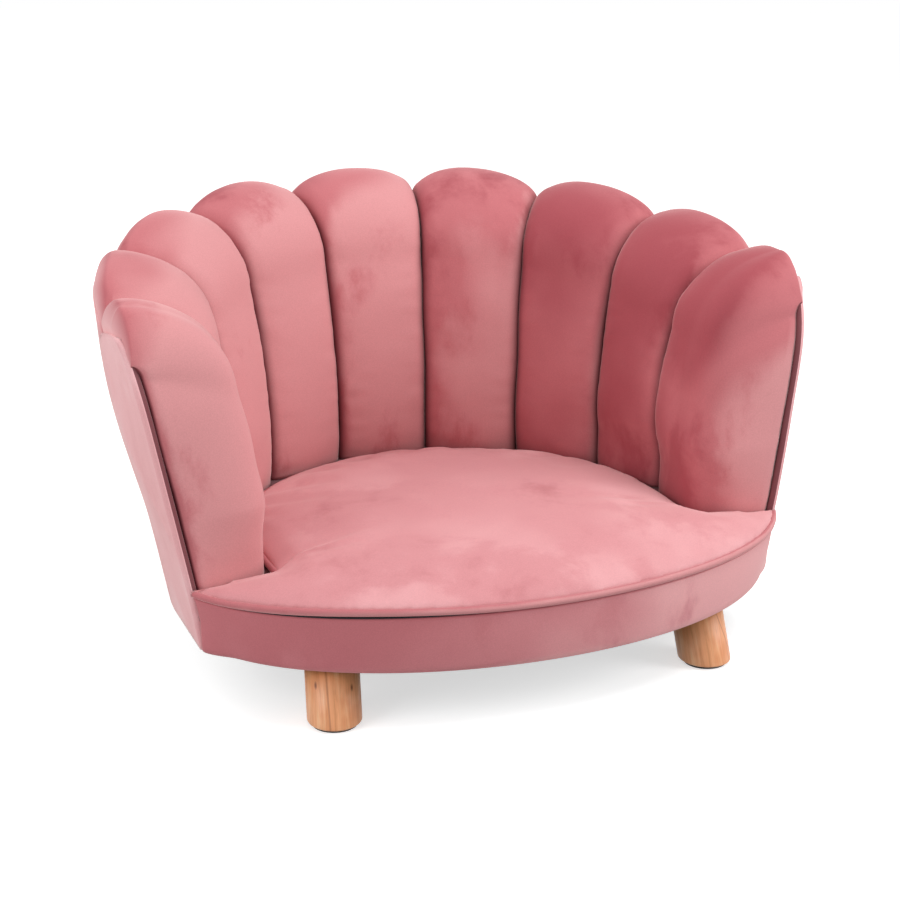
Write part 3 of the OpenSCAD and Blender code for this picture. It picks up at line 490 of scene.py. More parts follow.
def velvet(name, dark, middle, light, seam, shift=0.0, sheen=0.55, painted_shade_strength=0.75, marks=0.35, outer=None,
           foot=0.0, right_shade=0.0, span=(-0.95, 0.45)):
    """Velvet with a short pile, painted lighter where a surface faces right and to the front and darker
    where it faces away, with soft ragged smudges where a hand has brushed it, and painted shade of a
    wine colour down in the seams. The pile is half a millimetre long and drawn twice as coarse, so that
    it shows. The painted shade by facing spreads over span at the strength given; outer is a paler tone
    painted outside the dome as sheen, foot paints shade on the channels' feet, and the next strength paints
    shade on their tops on the right."""
    mat, tree = new_material(name)
    place = add(tree, "TexCoord").outputs["Object"]
    moved = add(tree, "Mapping", Vector=place, Location=(shift, shift * 0.7, shift * 0.3)).outputs[0]
    brushed = add(tree, "Mapping", Vector=moved, Scale=(1.0, 1.0, 0.6), Rotation=(0.2, 0.1, 0.3)).outputs[0]
    # Painted light and shade: lighter where a surface faces right and to the front, darker where it faces
    # away
    painted_facing_shade = add(tree, "VectorMath", {"operation": "DOT_PRODUCT"},
               n0=add(tree, "NewGeometry").outputs["Normal"], n1=PAINTED_LIGHT_FACING).outputs["Value"]
    painted_facing_shade = add(tree, "MapRange", Value=painted_facing_shade, From_Min=span[0], From_Max=span[1], To_Min=0.5 - painted_shade_strength / 2,
               To_Max=0.5 + painted_shade_strength / 2).outputs[0]
    slow = add(tree, "TexNoise", Vector=moved, Scale=8.0, Detail=2.0, Roughness=0.45, Distortion=0.3)
    smudge = add(tree, "TexNoise", Vector=brushed, Scale=12.0, Detail=7.0, Roughness=0.6, Distortion=0.2)
    pile = add(tree, "TexNoise", Vector=moved, Scale=900.0, Detail=2.0, Roughness=0.7)
    rubbed = ramp(tree, smudge.outputs[0], [(0.46, 0.0), (0.78, 1.0)])
    tone = add(tree, "Math", {"operation": "MULTIPLY_ADD"}, n0=slow.outputs[0], n1=0.6, n2=painted_facing_shade).outputs[0]
    tone = add(tree, "Math", {"operation": "MULTIPLY_ADD"}, n0=rubbed, n1=-marks, n2=tone).outputs[0]
    # Painted shade: darker towards the channels' feet, broken up by the smudges
    if foot:
        level = add(tree, "SeparateXYZ", Vector=place).outputs["Z"]
        low = add(tree, "MapRange", Value=level, From_Min=LOW_SHADE_FROM, From_Max=LOW_SHADE_TO, To_Min=foot,
                  To_Max=0.0).outputs[0]
        painted_low_shade = add(tree, "Math", {"operation": "MULTIPLY"}, n0=low, n1=smudge.outputs[0]).outputs[0]
        tone = add(tree, "Math", {"operation": "SUBTRACT"}, n0=tone, n1=painted_low_shade).outputs[0]
        # Painted shade: darker over the tops of the channels on the right
        beside = add(tree, "SeparateXYZ", Vector=place).outputs["X"]
        beside = add(tree, "MapRange", Value=beside, From_Min=RIGHT_SHADE_IN, From_Max=RIGHT_SHADE_OUT, To_Min=0.0,
                     To_Max=right_shade).outputs[0]
        high = add(tree, "MapRange", Value=level, From_Min=RIGHT_SHADE_LOW, From_Max=RIGHT_SHADE_HIGH, To_Min=0.0,
                   To_Max=1.0).outputs[0]
        painted_right_shade = add(tree, "Math", {"operation": "MULTIPLY"}, n0=beside, n1=high).outputs[0]
        tone = add(tree, "Math", {"operation": "SUBTRACT"}, n0=tone, n1=painted_right_shade).outputs[0]
    tone = ramp(tree, tone, [(0.3, colour(dark)), (0.72, colour(middle)), (1.0, colour(light))])
    specks = ramp(tree, pile.outputs[0], [(0.3, 0.86), (0.7, 1.0)])
    tone = blend_colours(tree, 0.6, tone, specks, "MULTIPLY")
    painted_shade_and_sheen = add(tree, "Attribute", {"attribute_name": "valley"}).outputs["Fac"]
    # Painted sheen: a paler tone outside the dome, where the valley attribute is below zero
    outside = add(tree, "MapRange", Value=painted_shade_and_sheen, From_Min=-0.1, From_Max=-0.9, To_Min=0.0,
                  To_Max=1.0).outputs[0]
    tone = blend_colours(tree, outside, tone, colour(outer or light))
    # Painted shade in the seams, in a wine colour
    painted_shade_and_sheen = ramp(tree, painted_shade_and_sheen, [(0.45, 0.0), (1.0, 0.85)])
    tone = blend_colours(tree, painted_shade_and_sheen, tone, colour(seam))
    rough = ramp(tree, smudge.outputs[0], [(0.35, 0.75), (0.65, 0.92)])
    fine = add(tree, "Bump", Height=pile.outputs[0], Strength=0.3, Distance=0.0003)
    bump = add(tree, "Bump", Height=smudge.outputs[0], Strength=0.25, Distance=0.002, Normal=fine.outputs[0])
    shader = add(tree, "BsdfPrincipled", Base_Color=tone, Roughness=rough, Normal=bump.outputs[0])
    shader.inputs["Sheen Weight"].default_value = sheen
    shader.inputs["Sheen Roughness"].default_value = 0.35
    shader.inputs["Sheen Tint"].default_value = colour("#FFE2E0")
    shader.inputs["Specular IOR Level"].default_value = 0.12
    tree.links.new(shader.outputs[0], add(tree, "OutputMaterial").inputs["Surface"])
    return mat


# Velvet of the channels, dusty pink, with painted wine-coloured shade in the seams, painted shade on the feet
# and on the tops on the right, and a paler painted sheen outside the domes
channel_velvet = velvet("channel velvet", "#AA525A", "#C9767B", "#DE999B", "#561822", painted_shade_strength=0.7, marks=0.36,
                        outer="#E6AFB1", foot=0.2, right_shade=0.34)


def seam_depth(across, v):
    """Shade of a seam, open towards the top; across is 1 in the seam and 0 on a crown."""
    return across ** 0.8 * (1 - 0.75 * max(0.0, (v - 0.55) / 0.45))


def outside_share(v):
    """How far a place lies over the dome on its outside, 0 to 1."""
    return max(0.0, (v - 0.8) / 0.2)


def seam_shade(s, v):
    """The valley attribute of a channel: 1 deep in a seam, 0 on a crown and -1 outside the dome. The velvet
    paints shade in the seams from it, and a paler sheen outside the dome.
    """
    across = 1 - bulge(math.sin(s * math.pi / 2))
    outside = outside_share(v)
    return seam_depth(across, v) * (1 - outside) - outside


LUMP, LUMP_RISE = 60 * MM, 1.6 * MM
GATHER, GATHER_RISE = 10 * MM, 0.8 * MM
CHANNELS = [("channel_centre", 0), ("channel_left_1", -1), ("channel_left_2", -2), ("channel_left_3", -3),
            ("channel_right_1", 1), ("channel_right_2", 2), ("channel_right_3", 3)]
for node, place in CHANNELS:
    mid = place * PITCH
    piece = two_skins("velvet_" + node, 36, 96,
                      lambda s, v, m=mid: channel_front(m, math.sin(s * math.pi / 2), v),
                      lambda s, v, m=mid: channel_back(m, math.sin(s * math.pi / 2), v), seam_shade)
    eased(piece, 6)
    swell(piece, LUMP, LUMP_RISE, seed=place * 3.1)
    puckered(piece, GATHER, GATHER_RISE, place * 3.1)
    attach(piece, "frame")
    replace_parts(piece, node)
    piece.data.materials.append(channel_velvet)


# The arm channels
# The last tube on each side runs along the straight arm and wraps round its padded front,
# where it is sewn to the folded front edge of the outer cover.
LAST_SEAM = 3.5 * PITCH
ARM_REACH, ARM_END, ARM_SLIM = 96 * MM, 66 * MM, 10 * MM
TURN_Y = -28.8 * MM
HOOK_DROP, HOOK_ROUND = 45 * MM, 12 * MM
EDGE_TOP = 330 * MM
EDGE_SHARES = [(0.0, 0.98), (0.2, 1.04), (0.4, 1.02), (0.6, 0.97), (0.8, 0.91), (0.9, 0.83), (1.0, 0.68)]
FRONT_SHARES = [(0.0, 0.93), (0.25, 0.96), (0.6, 0.91), (0.8, 0.83), (1.0, 0.65)]
SIDE_SHARE = 0.4
# The folded edge of the cover stands this thick, and the arm's velvet is tucked in behind it
HEM, HEM_BACK = 9 * MM, 4 * MM


def edge_y(z):
    return ARM_REACH * curve(EDGE_SHARES, max(0.0, min(1.0, (z - FLOOR_GAP) / (EDGE_TOP - FLOOR_GAP))))


def inner_front(z):
    return ARM_REACH * curve(FRONT_SHARES, max(0.0, min(1.0, (z - FLOOR_GAP) / (EDGE_TOP - FLOOR_GAP))))


def arm_y(x, q):
    return mix(TURN_Y, x / math.tan(LAST_SEAM) - 1 * MM, q)


def arm_at(r, q):
    y = max(0.0, arm_y(r, q))
    x = math.sqrt(r * r - y * y)
    return x, arm_y(x, q)


def slim(z):
    return ARM_SLIM * gently((z - SEAT_LEVEL - 26 * MM) / (90 * MM))


def over_rim(p, ridge, end, low, top, low_end, t):
    """Rounded top: from p up to the ridge and down to the end, as t goes from 0 to pi."""
    if t < math.pi / 2:
        w = 1 - math.cos(t)
        return mix(p[0], ridge[0], w), mix(p[1], ridge[1], w), mix(low, top, math.sin(t))
    w = -math.cos(t)
    return mix(ridge[0], end[0], w), mix(ridge[1], end[1], w), mix(low_end, top, math.sin(t))


def round_front(u):
    """Place round the arm front, 0 to 1, spaced evenly over its squarish section."""
    turned = math.pi / 2 * (u - SIDE_SHARE) / (1 - SIDE_SHARE)
    return math.atan2(math.sin(turned) ** 2, math.cos(turned) ** 2) * 2 / math.pi


def arm_front(side, s, v):
    """Point on an arm channel, from the last seam along the arm and round its front to the hem."""
    u = (s + 1) / 2
    dome = math.pi * (v - 1 + DOME_SHARE) / DOME_SHARE
    low_side = top_plane(0) - DOME_H
    if u < SIDE_SHARE:
        q = math.cos(math.pi / 2 * u / SIDE_SHARE)
        b = bulge(q)
        rise = top_plane(arm_y(RIDGE_R, q))
        edge = rise - EDGE_DROP - EDGE_DIP * (1 - b)

        def at(z):
            r = face_radius(z, low_side, STUFF_SIDE) + slim(z) * (1 - q) + CROWN * (1 - b)
            return arm_at(r, q) + (z,)
        if dome < 0:
            x, y, z = at(mix(SEAT_LEVEL, low_side, v / (1 - DOME_SHARE)))
        else:
            x, y, z = over_rim(at(low_side), arm_at(RIDGE_R, q), arm_at(shell_r(edge) + LAP, q),
                               low_side, rise - SCALLOP * (1 - b), edge - LAP_DOWN, dome)
    else:
        w = min(1.0, round_front(u))
        rise = top_plane(TURN_Y)
        hook = rise - HOOK_DROP
        amp = math.cos(math.pi / 2 * w) ** 0.7 if w < 1 else 0.0
        low = mix(low_side, hook - HOOK_ROUND, w * w)
        end = mix(rise - EDGE_DROP, hook, w)

        def at(z):
            back = max(0.0, math.cos(math.pi / 2 * w)) ** 0.5
            tuck = max(0.0, 1 - 8 * back) ** 1.5
            outer = shell_r(z) - mix(COVER_IN, HEM + 0.3 * MM, max(0.0, 1 - 3 * back))
            zr = min(low_side, mix(SEAT_LEVEL, low_side, (z - SEAT_LEVEL) / (low - SEAT_LEVEL)))
            thick = outer - face_radius(zr, low_side, STUFF_SIDE) - slim(zr) + shell_r(zr) - shell_r(z)
            ahead = max(0.0, math.sin(math.pi / 2 * w)) ** 0.5
            skew = (edge_y(z) - inner_front(z)) * (1 - back)
            rise_in = max(0.0, min(1.0, (z - SEAT_LEVEL - 22 * MM) / (50 * MM)))
            puff = 5 * MM * rise_in * ahead * (1 - (1 - back) ** 3) - HEM_BACK * tuck
            return outer - thick * back, mix(TURN_Y, -inner_front(z), ahead) - skew - puff, z
        if dome < 0:
            x, y, z = at(mix(SEAT_LEVEL, low, v / (1 - DOME_SHARE)))
        else:
            p = at(low)
            e = (shell_r(end) + mix(LAP, -COVER_IN, w ** 3), mix(TURN_Y, -edge_y(end), w))
            first = face_radius(low_side, low_side, STUFF_SIDE) + ARM_SLIM
            k = (RIDGE_R - first) / (shell_r(rise - EDGE_DROP) - COVER_IN - first)
            x, y, z = over_rim(p, (mix(p[0], e[0], k), mix(p[1], e[1], k)), e, low,
                               mix(end, rise, amp), end - LAP_DOWN * (1 - w ** 3), dome)
    return Vector((side * x, TUB_Y + y, z))


def arm_back(side, s, v):
    """Point on the arm channel's hidden side, against the boards and the arm post."""
    u = (s + 1) / 2
    t = max(0.0, (v - 1 + DOME_SHARE) / DOME_SHARE)
    end = -ARM_END - 0.5 * MM
    q = math.cos(math.pi / 2 * u / SIDE_SHARE) if u < SIDE_SHARE else 0.0
    w = round_front(u) if u > SIDE_SHARE else 0.0
    near = mix(STUFF_IN, COVER_IN, 0.92 * max(0.0, 2 * w - 1))
    start = arm_y(BOARD_R, q) if w == 0 else mix(TURN_Y, end, min(2 * w, 1))
    z = mix(SEAT_LEVEL, ledge(start), min(1.0, v / (1 - DOME_SHARE)))
    r = shell_r(z) - mix(near, COVER_IN, t)
    x, y = arm_at(r, q) if w == 0 else (r, mix(start, mix(TURN_Y, end + 1.5 * MM, w), t))
    return Vector((side * x, TUB_Y + y, ledge(y) if t > 0 else z))


# The valley attribute of an arm channel: painted shade in the seam and in a strip along the hem, and -1
# outside the dome
def arm_shade(s, v):
    u = (s + 1) / 2
    near_seam = 1 - bulge(math.cos(math.pi / 2 * u / SIDE_SHARE)) if u < SIDE_SHARE else 0.0
    near_hem = max(0.0, (u - 0.965) / 0.035)
    outside = outside_share(v)
    return max(seam_depth(near_seam, v), near_hem) * (1 - outside) - outside


for node, side in (("channel_left_4", -1), ("channel_right_4", 1)):
    piece = two_skins("velvet_" + node, 48, 96,
                      lambda s, v, k=side: arm_front(k, s, v),
                      lambda s, v, k=side: arm_back(k, s, v), arm_shade)
    eased(piece, 8)
    swell(piece, LUMP, LUMP_RISE, seed=side * 5.7)
    puckered(piece, GATHER, GATHER_RISE, side * 5.7)
    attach(piece, "frame")
    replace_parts(piece, node)
    piece.data.materials.append(channel_velvet)


# The outer cover
# One piece of velvet with thin wadding, pulled smooth over the outer board. Its top edge follows the
# scallops, and its front edges are turned under and stapled along the arm fronts.
COVER_T = 3 * MM
ARC_SHARE = 0.8


def rim_level(s):
    """Height of the cover's top edge at place s along it, from the left front to the right front."""
    k = (abs(s) - ARC_SHARE) / (1 - ARC_SHARE)
    if k <= 0:
        a = LAST_SEAM * s / ARC_SHARE
        near = (a / PITCH + 0.5) % 1 * 2 - 1
        rise = top_plane(RIDGE_R * math.cos(a))
        return rise - EDGE_DROP - EDGE_DIP * (1 - bulge(near))
    rise = top_plane(TURN_Y)
    hook = rise - HOOK_DROP
    seam = RIDGE_R / math.tan(LAST_SEAM)
    y = mix(seam, -edge_y(hook), k)
    if y > TURN_Y:
        return rise - EDGE_DROP - EDGE_DIP * (1 - bulge((y - TURN_Y) / (seam - TURN_Y)))
    w = (y - TURN_Y) / (-edge_y(hook) - TURN_Y)
    return mix(rise - EDGE_DROP, hook, w)


BELLY, BELLY_SHARES = 8 * MM, [(0.0, 0.0), (0.25, 0.08), (0.4, 0.6), (0.5, 0.92), (0.6, 1.0), (0.7, 0.75),
                               (0.84, 0.12), (1.0, 0.0)]


def cover_place(s, v, inside):
    """Point on the cover, from the left arm's folded edge round the back to the right arm's."""
    z = mix(FLOOR_GAP, rim_level(s), v)
    belly = BELLY * curve(BELLY_SHARES, (z - FLOOR_GAP) / (HEIGHT - FLOOR_GAP))
    k = (abs(s) - ARC_SHARE) / (1 - ARC_SHARE)
    if k <= 0:
        r = shell_r(z) + (-COVER_T if inside else belly)
        a = LAST_SEAM * s / ARC_SHARE
        return Vector((r * math.sin(a), TUB_Y + r * math.cos(a), z))
    r = shell_r(z)
    k = 1 - (1 - k) ** 2.2
    seam = r / math.tan(LAST_SEAM)
    y = mix(seam, -edge_y(z), k)
    back = max(0.0, edge_y(z) + y)
    along = max(0.0, min(1.0, back / ARM_REACH))
    belly = min(belly, BELLY * along)
    roll = HEM / 2 * (1 - math.sqrt(1 - max(0.0, 1 - back / (HEM / 2)) ** 2))
    thick = mix(HEM, COVER_T, max(0.0, min(1.0, (back - HEM / 2) / (14 * MM))))
    x = r - thick + roll if inside else r + belly - roll
    if y > 0:
        x = math.sqrt(x * x - y * y)
    return Vector((math.copysign(x, s), TUB_Y + y, z))


cover = two_skins("velvet_outer_cover", 320, 60,
                  lambda s, v: cover_place(s, v, False), lambda s, v: cover_place(s, v, True))
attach(cover, "frame")
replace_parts(cover, "outer_cover")
# The cover's palette is paler than the channels' for the same velvet: painted sheen on the outer panels
cover.data.materials.append(
    velvet("cover velvet", "#DC9498", "#ECB0B3", "#F6CBCD", "#5E1B26", 3.1, 0.7, 0.0, 0.3))


# The front border
# A velvet band with wadding, wrapped round the base board and stapled under it and on the deck.
FRONT_HALF, FRONT_DEPTH, BORDER_IN, BORDER_T = 310 * MM, 182 * MM, 3 * MM, 8 * MM
TAPER, BORDER_TOP, CORNER = 14 * MM, 110.9 * MM, math.radians(15)
FRONT_Y = TUB_Y - 55 * MM
BORDER_ROLL, BORDER_BELLY = 9 * MM, 1.5 * MM
BOTTOM_HALF = FRONT_HALF - BORDER_IN - TAPER


def border_place(s, v, outside):
    """Point on the border, from the left corner to the right one and from the base up to the deck."""
    t = mix(math.pi - CORNER, CORNER, (s + 1) / 2)
    z = mix(FLOOR_GAP, BORDER_TOP, v)
    low = max(0.0, 1 - (z - FLOOR_GAP) / BORDER_ROLL)
    inset = BORDER_T
    if outside:
        inset = BORDER_ROLL * (1 - math.sqrt(1 - low * low)) * 0.8 - BORDER_BELLY * math.sin(math.pi * v)
    end = gently((abs(s) - 0.86) / 0.14)
    a = BOTTOM_HALF + TAPER * mix(v, max(v, 0.6), end) - inset * (1 - 0.5 * end)
    b = FRONT_DEPTH - BORDER_IN - inset
    x = a * math.cos(t)
    return Vector((x, FRONT_Y - b * math.sin(t), z))


border = two_skins("velvet_front_border", 200, 24,
                   lambda s, v: border_place(s, v, True), lambda s, v: border_place(s, v, False))
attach(border, "frame")
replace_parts(border, "front_border")
# Strong painted shade by facing: the band is painted darker on its left part and lighter on its right part
border.data.materials.append(
    velvet("border velvet", "#C6757B", "#D4888D", "#EFAFB1", "#5E1B26", 6.4, 0.5, 0.9, 0.3, span=(0.0, 0.85)))


# The linings
# A wine-coloured cloth over the seat deck, and black non-woven cloth stretched under the base as a
# dust cover, each stapled along its edge.
LINING_T, DECK_LEVEL = 1 * MM, 110 * MM
DECK_R, UNDER_R, LINING_IN = 270.7 * MM, BASE_R - COVER_IN, 8.3 * MM


def lining_sheet(name, r, level, cloth):
    """A flat cloth with the outline of the base, stapled down at that level."""
    a, b = BOTTOM_HALF - LINING_IN, FRONT_DEPTH - BORDER_IN - LINING_IN
    outline = [Vector((a * math.cos(t), FRONT_Y - b * math.sin(t), 0)) for t in
               [mix(CORNER, math.pi - CORNER, k / 40) for k in range(41)]]
    outline += [Vector((-r, TUB_Y - ARM_END, 0))]
    outline += [Vector((r * math.cos(t), TUB_Y + r * math.sin(t), 0)) for t in
                [mix(math.pi, 0, k / 60) for k in range(61)]] + [Vector((r, TUB_Y - ARM_END, 0))]
    bm = bmesh.new()
    rim = bmesh.ops.create_circle(bm, segments=len(outline), radius=1)["verts"]
    for v, p in zip(rim, outline):
        v.co = p + Vector((0, 0, level))
    bmesh.ops.contextual_create(bm, geom=bm.edges[:])
    bmesh.ops.recalc_face_normals(bm, faces=bm.faces[:])
    if bm.faces[0].normal.z < 0:
        bmesh.ops.reverse_faces(bm, faces=bm.faces[:])
    sheet = finished(name, bm, smooth=False)
    thick = sheet.modifiers.new("thickness", "SOLIDIFY")
    thick.thickness, thick.offset = LINING_T - 0.1 * MM, 1
    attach(sheet, "frame")
    sheet.data.materials.append(cloth)
    return sheet


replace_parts(lining_sheet("lining_seat_deck", DECK_R, DECK_LEVEL,
                         felt("wine coloured deck cloth", "#5A242B", "#6E3239")), "deck_lining")
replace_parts(lining_sheet("lining_dust_cover", UNDER_R, FLOOR_GAP,
                         felt("black non woven lining", "#17171A", "#2B2B2F")), "dust_cover")


# The seat cushion
# A T-shaped box cushion of crushed velvet over foam, crowned in the middle, with piping in its lower
# seam and a lining cloth with a zip below. It lies loose and slides out to the front.
PIPING_R = 3.5 * MM
CUSHION_LOW, CUSHION_TOP = 112.5 * MM, 143.3 * MM
CUSHION_MIDDLE = Vector((0, FRONT_Y, 0))
BACK_STEPS, EAR_STEPS, SIDE_STEPS = 80, 140, 16


def cushion_outline(inset):
    """Points round the cushion, the same number for any inset."""
    r, a, b = SEAT_R - inset, FRONT_HALF - inset, FRONT_DEPTH - inset
    ear = [Vector((a * math.cos(t), FRONT_Y - b * math.sin(t), 0)) for t in
           [mix(CORNER, math.pi - CORNER, k / EAR_STEPS) for k in range(EAR_STEPS + 1)]]
    step = TUB_Y - inner_front(SEAT_LEVEL) - inset - 2 * MM
    back = [Vector((r * math.cos(t), TUB_Y + r * math.sin(t), 0)) for t in
            [mix(math.pi, 0, k / BACK_STEPS) for k in range(BACK_STEPS + 1)]]
    left, right = Vector((-r, step, 0)), Vector((r, step, 0))

    def between(p, q):
        return [p.lerp(q, k / SIDE_STEPS) for k in range(1, SIDE_STEPS)]
    return (ear + between(ear[-1], left) + [left] + between(left, back[0]) + back
            + between(back[-1], right) + [right] + between(right, ear[0]))


CROWN_RINGS = [(1.0, 0.0), (0.992, 0.22), (0.978, 0.38), (0.955, 0.5), (0.92, 0.6), (0.86, 0.7), (0.76, 0.8),
               (0.64, 0.88), (0.5, 0.94), (0.36, 0.975), (0.22, 0.993), (0.1, 1.0)]


def ring_stack(name, rings, closed_ends=True):
    """A closed piece from rings of points, each joined to the next, with its ends filled."""
    bm = bmesh.new()
    loops = []
    for ring in rings:
        made = bmesh.ops.create_circle(bm, segments=len(ring), radius=1)["verts"]
        for v, p in zip(made, ring):
            v.co = p
        loops.append(list({e for v in made for e in v.link_edges}))
    for a, b in zip(loops, loops[1:] + ([] if closed_ends else loops[:1])):
        bmesh.ops.bridge_loops(bm, edges=a + b)
    if closed_ends:
        for loop in (loops[0], loops[-1]):
            bmesh.ops.contextual_create(bm, geom=loop)
    bmesh.ops.recalc_face_normals(bm, faces=bm.faces[:])
    return finished(name, bm)


def cushion_ring(inset, share, z):
    return [(CUSHION_MIDDLE + (p - CUSHION_MIDDLE) * share) + Vector((0, 0, z))
            for p in cushion_outline(inset)]


def evaluated(obj):
    """The mesh of an object with its modifiers applied."""
    return bpy.data.meshes.new_from_object(obj.evaluated_get(bpy.context.evaluated_depsgraph_get()))


SIM_FRAMES = 20


def puffed(obj, voxel, pressure, cap, held):
    """Evens out the mesh, swells it as cloth under pressure from inside, and keeps every point within
    cap of where it began. Points where held(co) is true stay."""
    scene = bpy.context.scene
    even = obj.modifiers.new("even", "REMESH")
    even.mode, even.voxel_size = "VOXEL", voxel
    mesh = evaluated(obj)
    obj.modifiers.clear()
    obj.data = mesh
    start = [v.co.copy() for v in mesh.vertices]
    group = obj.vertex_groups.new(name="held")
    group.add([i for i, co in enumerate(start) if held(co)], 1.0, "REPLACE")
    swelling = obj.modifiers.new("swelling", "CLOTH")
    cloth = swelling.settings
    cloth.quality, cloth.mass = 5, 0.3
    cloth.tension_stiffness = cloth.compression_stiffness = 12
    cloth.shear_stiffness, cloth.bending_stiffness = 5, 0.4
    cloth.use_pressure, cloth.uniform_pressure_force = True, pressure
    cloth.effector_weights.gravity = 0
    cloth.vertex_group_mass = "held"
    swelling.point_cache.frame_start, swelling.point_cache.frame_end = 1, SIM_FRAMES
    for frame_number in range(1, SIM_FRAMES + 1):
        scene.frame_set(frame_number)
    swollen = evaluated(obj)
    obj.modifiers.clear()
    obj.vertex_groups.clear()
    for v, a, b in zip(mesh.vertices, start, swollen.vertices):
        move = b.co - a
        v.co = a + move * min(1.0, cap / max(move.length, 1e-9))
    bpy.data.meshes.remove(swollen)
    scene.frame_set(1)
    bm = bmesh.new()
    bm.from_mesh(mesh)
    for _ in range(3):
        bmesh.ops.smooth_vert(bm, verts=bm.verts[:], factor=0.5, use_axis_x=True, use_axis_y=True,
                              use_axis_z=True)
    bm.to_mesh(mesh)
    bm.free()
    for p in mesh.polygons:
        p.use_smooth = True


ARM_FRONT_Y = TUB_Y - inner_front(CUSHION_TOP)
EAR_DIP, LIFT_LEFT, LIFT_RIGHT = 9 * MM, 3 * MM, 5 * MM


def settled(p):
    """How much the cushion gives: its ears are pressed down at the arm fronts, and its front edge
    has ridden up a little on the left and at the right corner."""
    ear = max(0.0, min(1.0, (abs(p.x) - 190 * MM) / (30 * MM)))
    near = math.exp(-((p.y - ARM_FRONT_Y) / (36 * MM)) ** 2)
    top = max(0.0, min(1.0, (p.z - CUSHION_LOW) / (16 * MM)))
    down = EAR_DIP * ear * near * top
    edge = 1 - math.hypot(p.x / FRONT_HALF, min(0.0, p.y - FRONT_Y) / FRONT_DEPTH)
    rim = math.exp(-max(0.0, edge) / 0.12) if p.y < FRONT_Y + 20 * MM else 0.0
    lift = LIFT_LEFT * math.exp(-((p.x + 170 * MM) / (95 * MM)) ** 2) * rim
    lift += LIFT_RIGHT * math.exp(-((p.x - 306 * MM) / (18 * MM)) ** 2) * rim
    return lift - down


rings = [cushion_ring(9 * MM, 0.5, CUSHION_LOW), cushion_ring(9 * MM, 0.98, CUSHION_LOW)]
rings += [cushion_ring(mix(1.2 * MM, 0, rise), share, mix(CUSHION_LOW + 3 * MM, CUSHION_TOP - 5 * MM, rise))
          for share, rise in CROWN_RINGS]
cushion = ring_stack("velvet_cushion", rings)
puffed(cushion, 5 * MM, 4.0, 7 * MM, lambda co: co.z < CUSHION_LOW + 6 * MM)
for v in cushion.data.vertices:
    v.co.z += settled(v.co)
swell(cushion, 70 * MM, 1.2 * MM, 4.2, lambda co: max(0.0, min(1.0, (co.z - CUSHION_LOW) / (14 * MM))))
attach(cushion, "seat_cushion")
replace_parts(cushion, "cushion_top", "cushion_foam")
cushion.data.materials.append(
    velvet("seat velvet", "#BA6C71", "#D99498", "#E9ACAF", "#5E1B26", 9.7, 0.5, 0.2, 0.3))

piping_rings = []
for k in range(12):
    t = 2 * math.pi * k / 12
    ring = [p + Vector((0, 0, SEAT_LEVEL + PIPING_R + PIPING_R * math.sin(t)))
            for p in cushion_outline(PIPING_R - PIPING_R * math.cos(t))]
    piping_rings.append([p + Vector((0, 0, max(0.0, settled(p)))) for p in ring])
piping = ring_stack("velvet_piping", piping_rings, closed_ends=False)
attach(piping, "seat_cushion")
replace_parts(piping, "cushion_piping")
piping.data.materials.append(
    velvet("piping velvet", "#A9545B", "#C4767B", "#D99698", "#5E1B26", 12.9, 0.5, 0.6, 0.2))

# The cloth under the cushion, sewn into the piping seam, with the zip set in it
base_cloth = ring_stack("lining_cushion_base", [cushion_ring(4.5 * MM, 1.0, SEAT_LEVEL + 0.1 * MM),
                                                cushion_ring(4.5 * MM, 1.0, SEAT_LEVEL + 0.9 * MM)])
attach(base_cloth, "seat_cushion")
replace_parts(base_cloth, "cushion_base")
base_cloth.data.materials.append(felt("grey lining cloth", "#232326", "#38383C"))


def nylon_zip(name):
    """Coil zip of nylon: teeth 1.5 mm apart along the tape, moulded, slightly glossy."""
    mat, tree = new_material(name)
    place = add(tree, "TexCoord").outputs["Object"]
    teeth = add(tree, "TexWave", {"wave_type": "BANDS", "bands_direction": "X"}, Vector=place, Scale=210.0)
    tone = ramp(tree, teeth.outputs["Fac"], [(0.2, colour("#6E4547")), (0.7, colour("#9C6A6C"))])
    bump = add(tree, "Bump", Height=teeth.outputs["Fac"], Strength=0.6, Distance=0.0006)
    shader = add(tree, "BsdfPrincipled", Base_Color=tone, Roughness=0.4, Normal=bump.outputs[0])
    tree.links.new(shader.outputs[0], add(tree, "OutputMaterial").inputs["Surface"])
    return mat


dressed(["cushion_zip"], nylon_zip("nylon coil zip"))


# The studio
# A white floor and white surroundings, with four soft round lamps: above, at the right, at the left
# and behind. The floor is white to the camera and keeps the sofa's soft shadow.
def backdrop_floor():
    bm = bmesh.new()
    bmesh.ops.create_grid(bm, x_segments=1, y_segments=1, size=12)
    return finished("floor", bm, smooth=False)


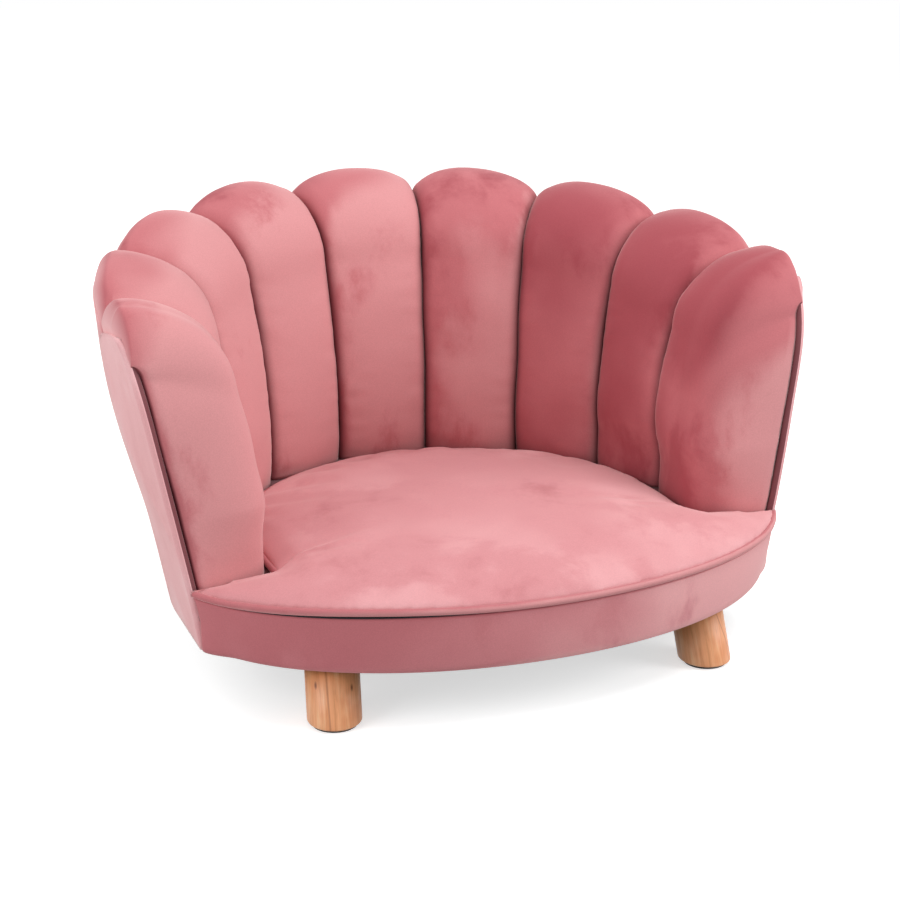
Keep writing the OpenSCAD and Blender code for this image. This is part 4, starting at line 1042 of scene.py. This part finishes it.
def seen_white(tree):
    """1 for a ray from the camera, off a gloss or through something clear, otherwise 0."""
    rays = add(tree, "LightPath")
    seen = add(tree, "Math", {"operation": "MAXIMUM"}, n0=rays.outputs["Is Camera Ray"],
               n1=rays.outputs["Is Glossy Ray"]).outputs[0]
    return add(tree, "Math", {"operation": "MAXIMUM"}, n0=seen,
               n1=rays.outputs["Is Transmission Ray"]).outputs[0]


def floor_white():
    mat, tree = new_material("white floor")
    seen = seen_white(tree)
    paint = add(tree, "BsdfDiffuse", Color=colour("#E6E6E6")).outputs[0]
    dim = add(tree, "BsdfDiffuse", Color=colour("#B4B4B4")).outputs[0]
    glow = add(tree, "Emission", Color=(1, 1, 1, 1), Strength=0.6).outputs[0]
    bright = add(tree, "AddShader", n0=paint, n1=glow).outputs[0]
    both = add(tree, "MixShader", n0=seen, n1=dim, n2=bright).outputs[0]
    tree.links.new(both, add(tree, "OutputMaterial").inputs["Surface"])
    return mat


def lamp(name, place, target, size, power):
    data = bpy.data.lights.new(name, "AREA")
    data.shape = "DISK"
    data.size = size
    data.energy = power
    obj = bpy.data.objects.new(name, data)
    obj.location = place
    obj.rotation_euler = (Vector(target) - Vector(place)).to_track_quat("-Z", "Y").to_euler()
    bpy.context.scene.collection.objects.link(obj)


floor = backdrop_floor()
floor.data.materials.append(floor_white())
lamp("top", (0.7, -0.5, 2.4), (0, 0, 0.15), 1.6, 27)
lamp("key", (2.1, -1.3, 1.3), (0, 0, 0.2), 1.2, 24)
lamp("fill", (-2.4, -0.9, 1.2), (0, 0, 0.2), 1.6, 24)
lamp("back", (-1.5, 2.2, 1.5), (0, 0, 0.2), 1.6, 26)

world = bpy.data.worlds.new("white")
bpy.context.scene.world = world
world.use_nodes = True
tree = world.node_tree
tree.nodes.clear()
seen = seen_white(tree)
around = add(tree, "Background", Color=(1, 1, 1, 1), Strength=0.5).outputs[0]
white = add(tree, "Background", Color=(1, 1, 1, 1), Strength=1.0).outputs[0]
both = add(tree, "MixShader", n0=seen, n1=around, n2=white).outputs[0]
tree.links.new(both, add(tree, "OutputWorld").inputs["Surface"])
bpy.context.scene.view_settings.view_transform = "Standard"
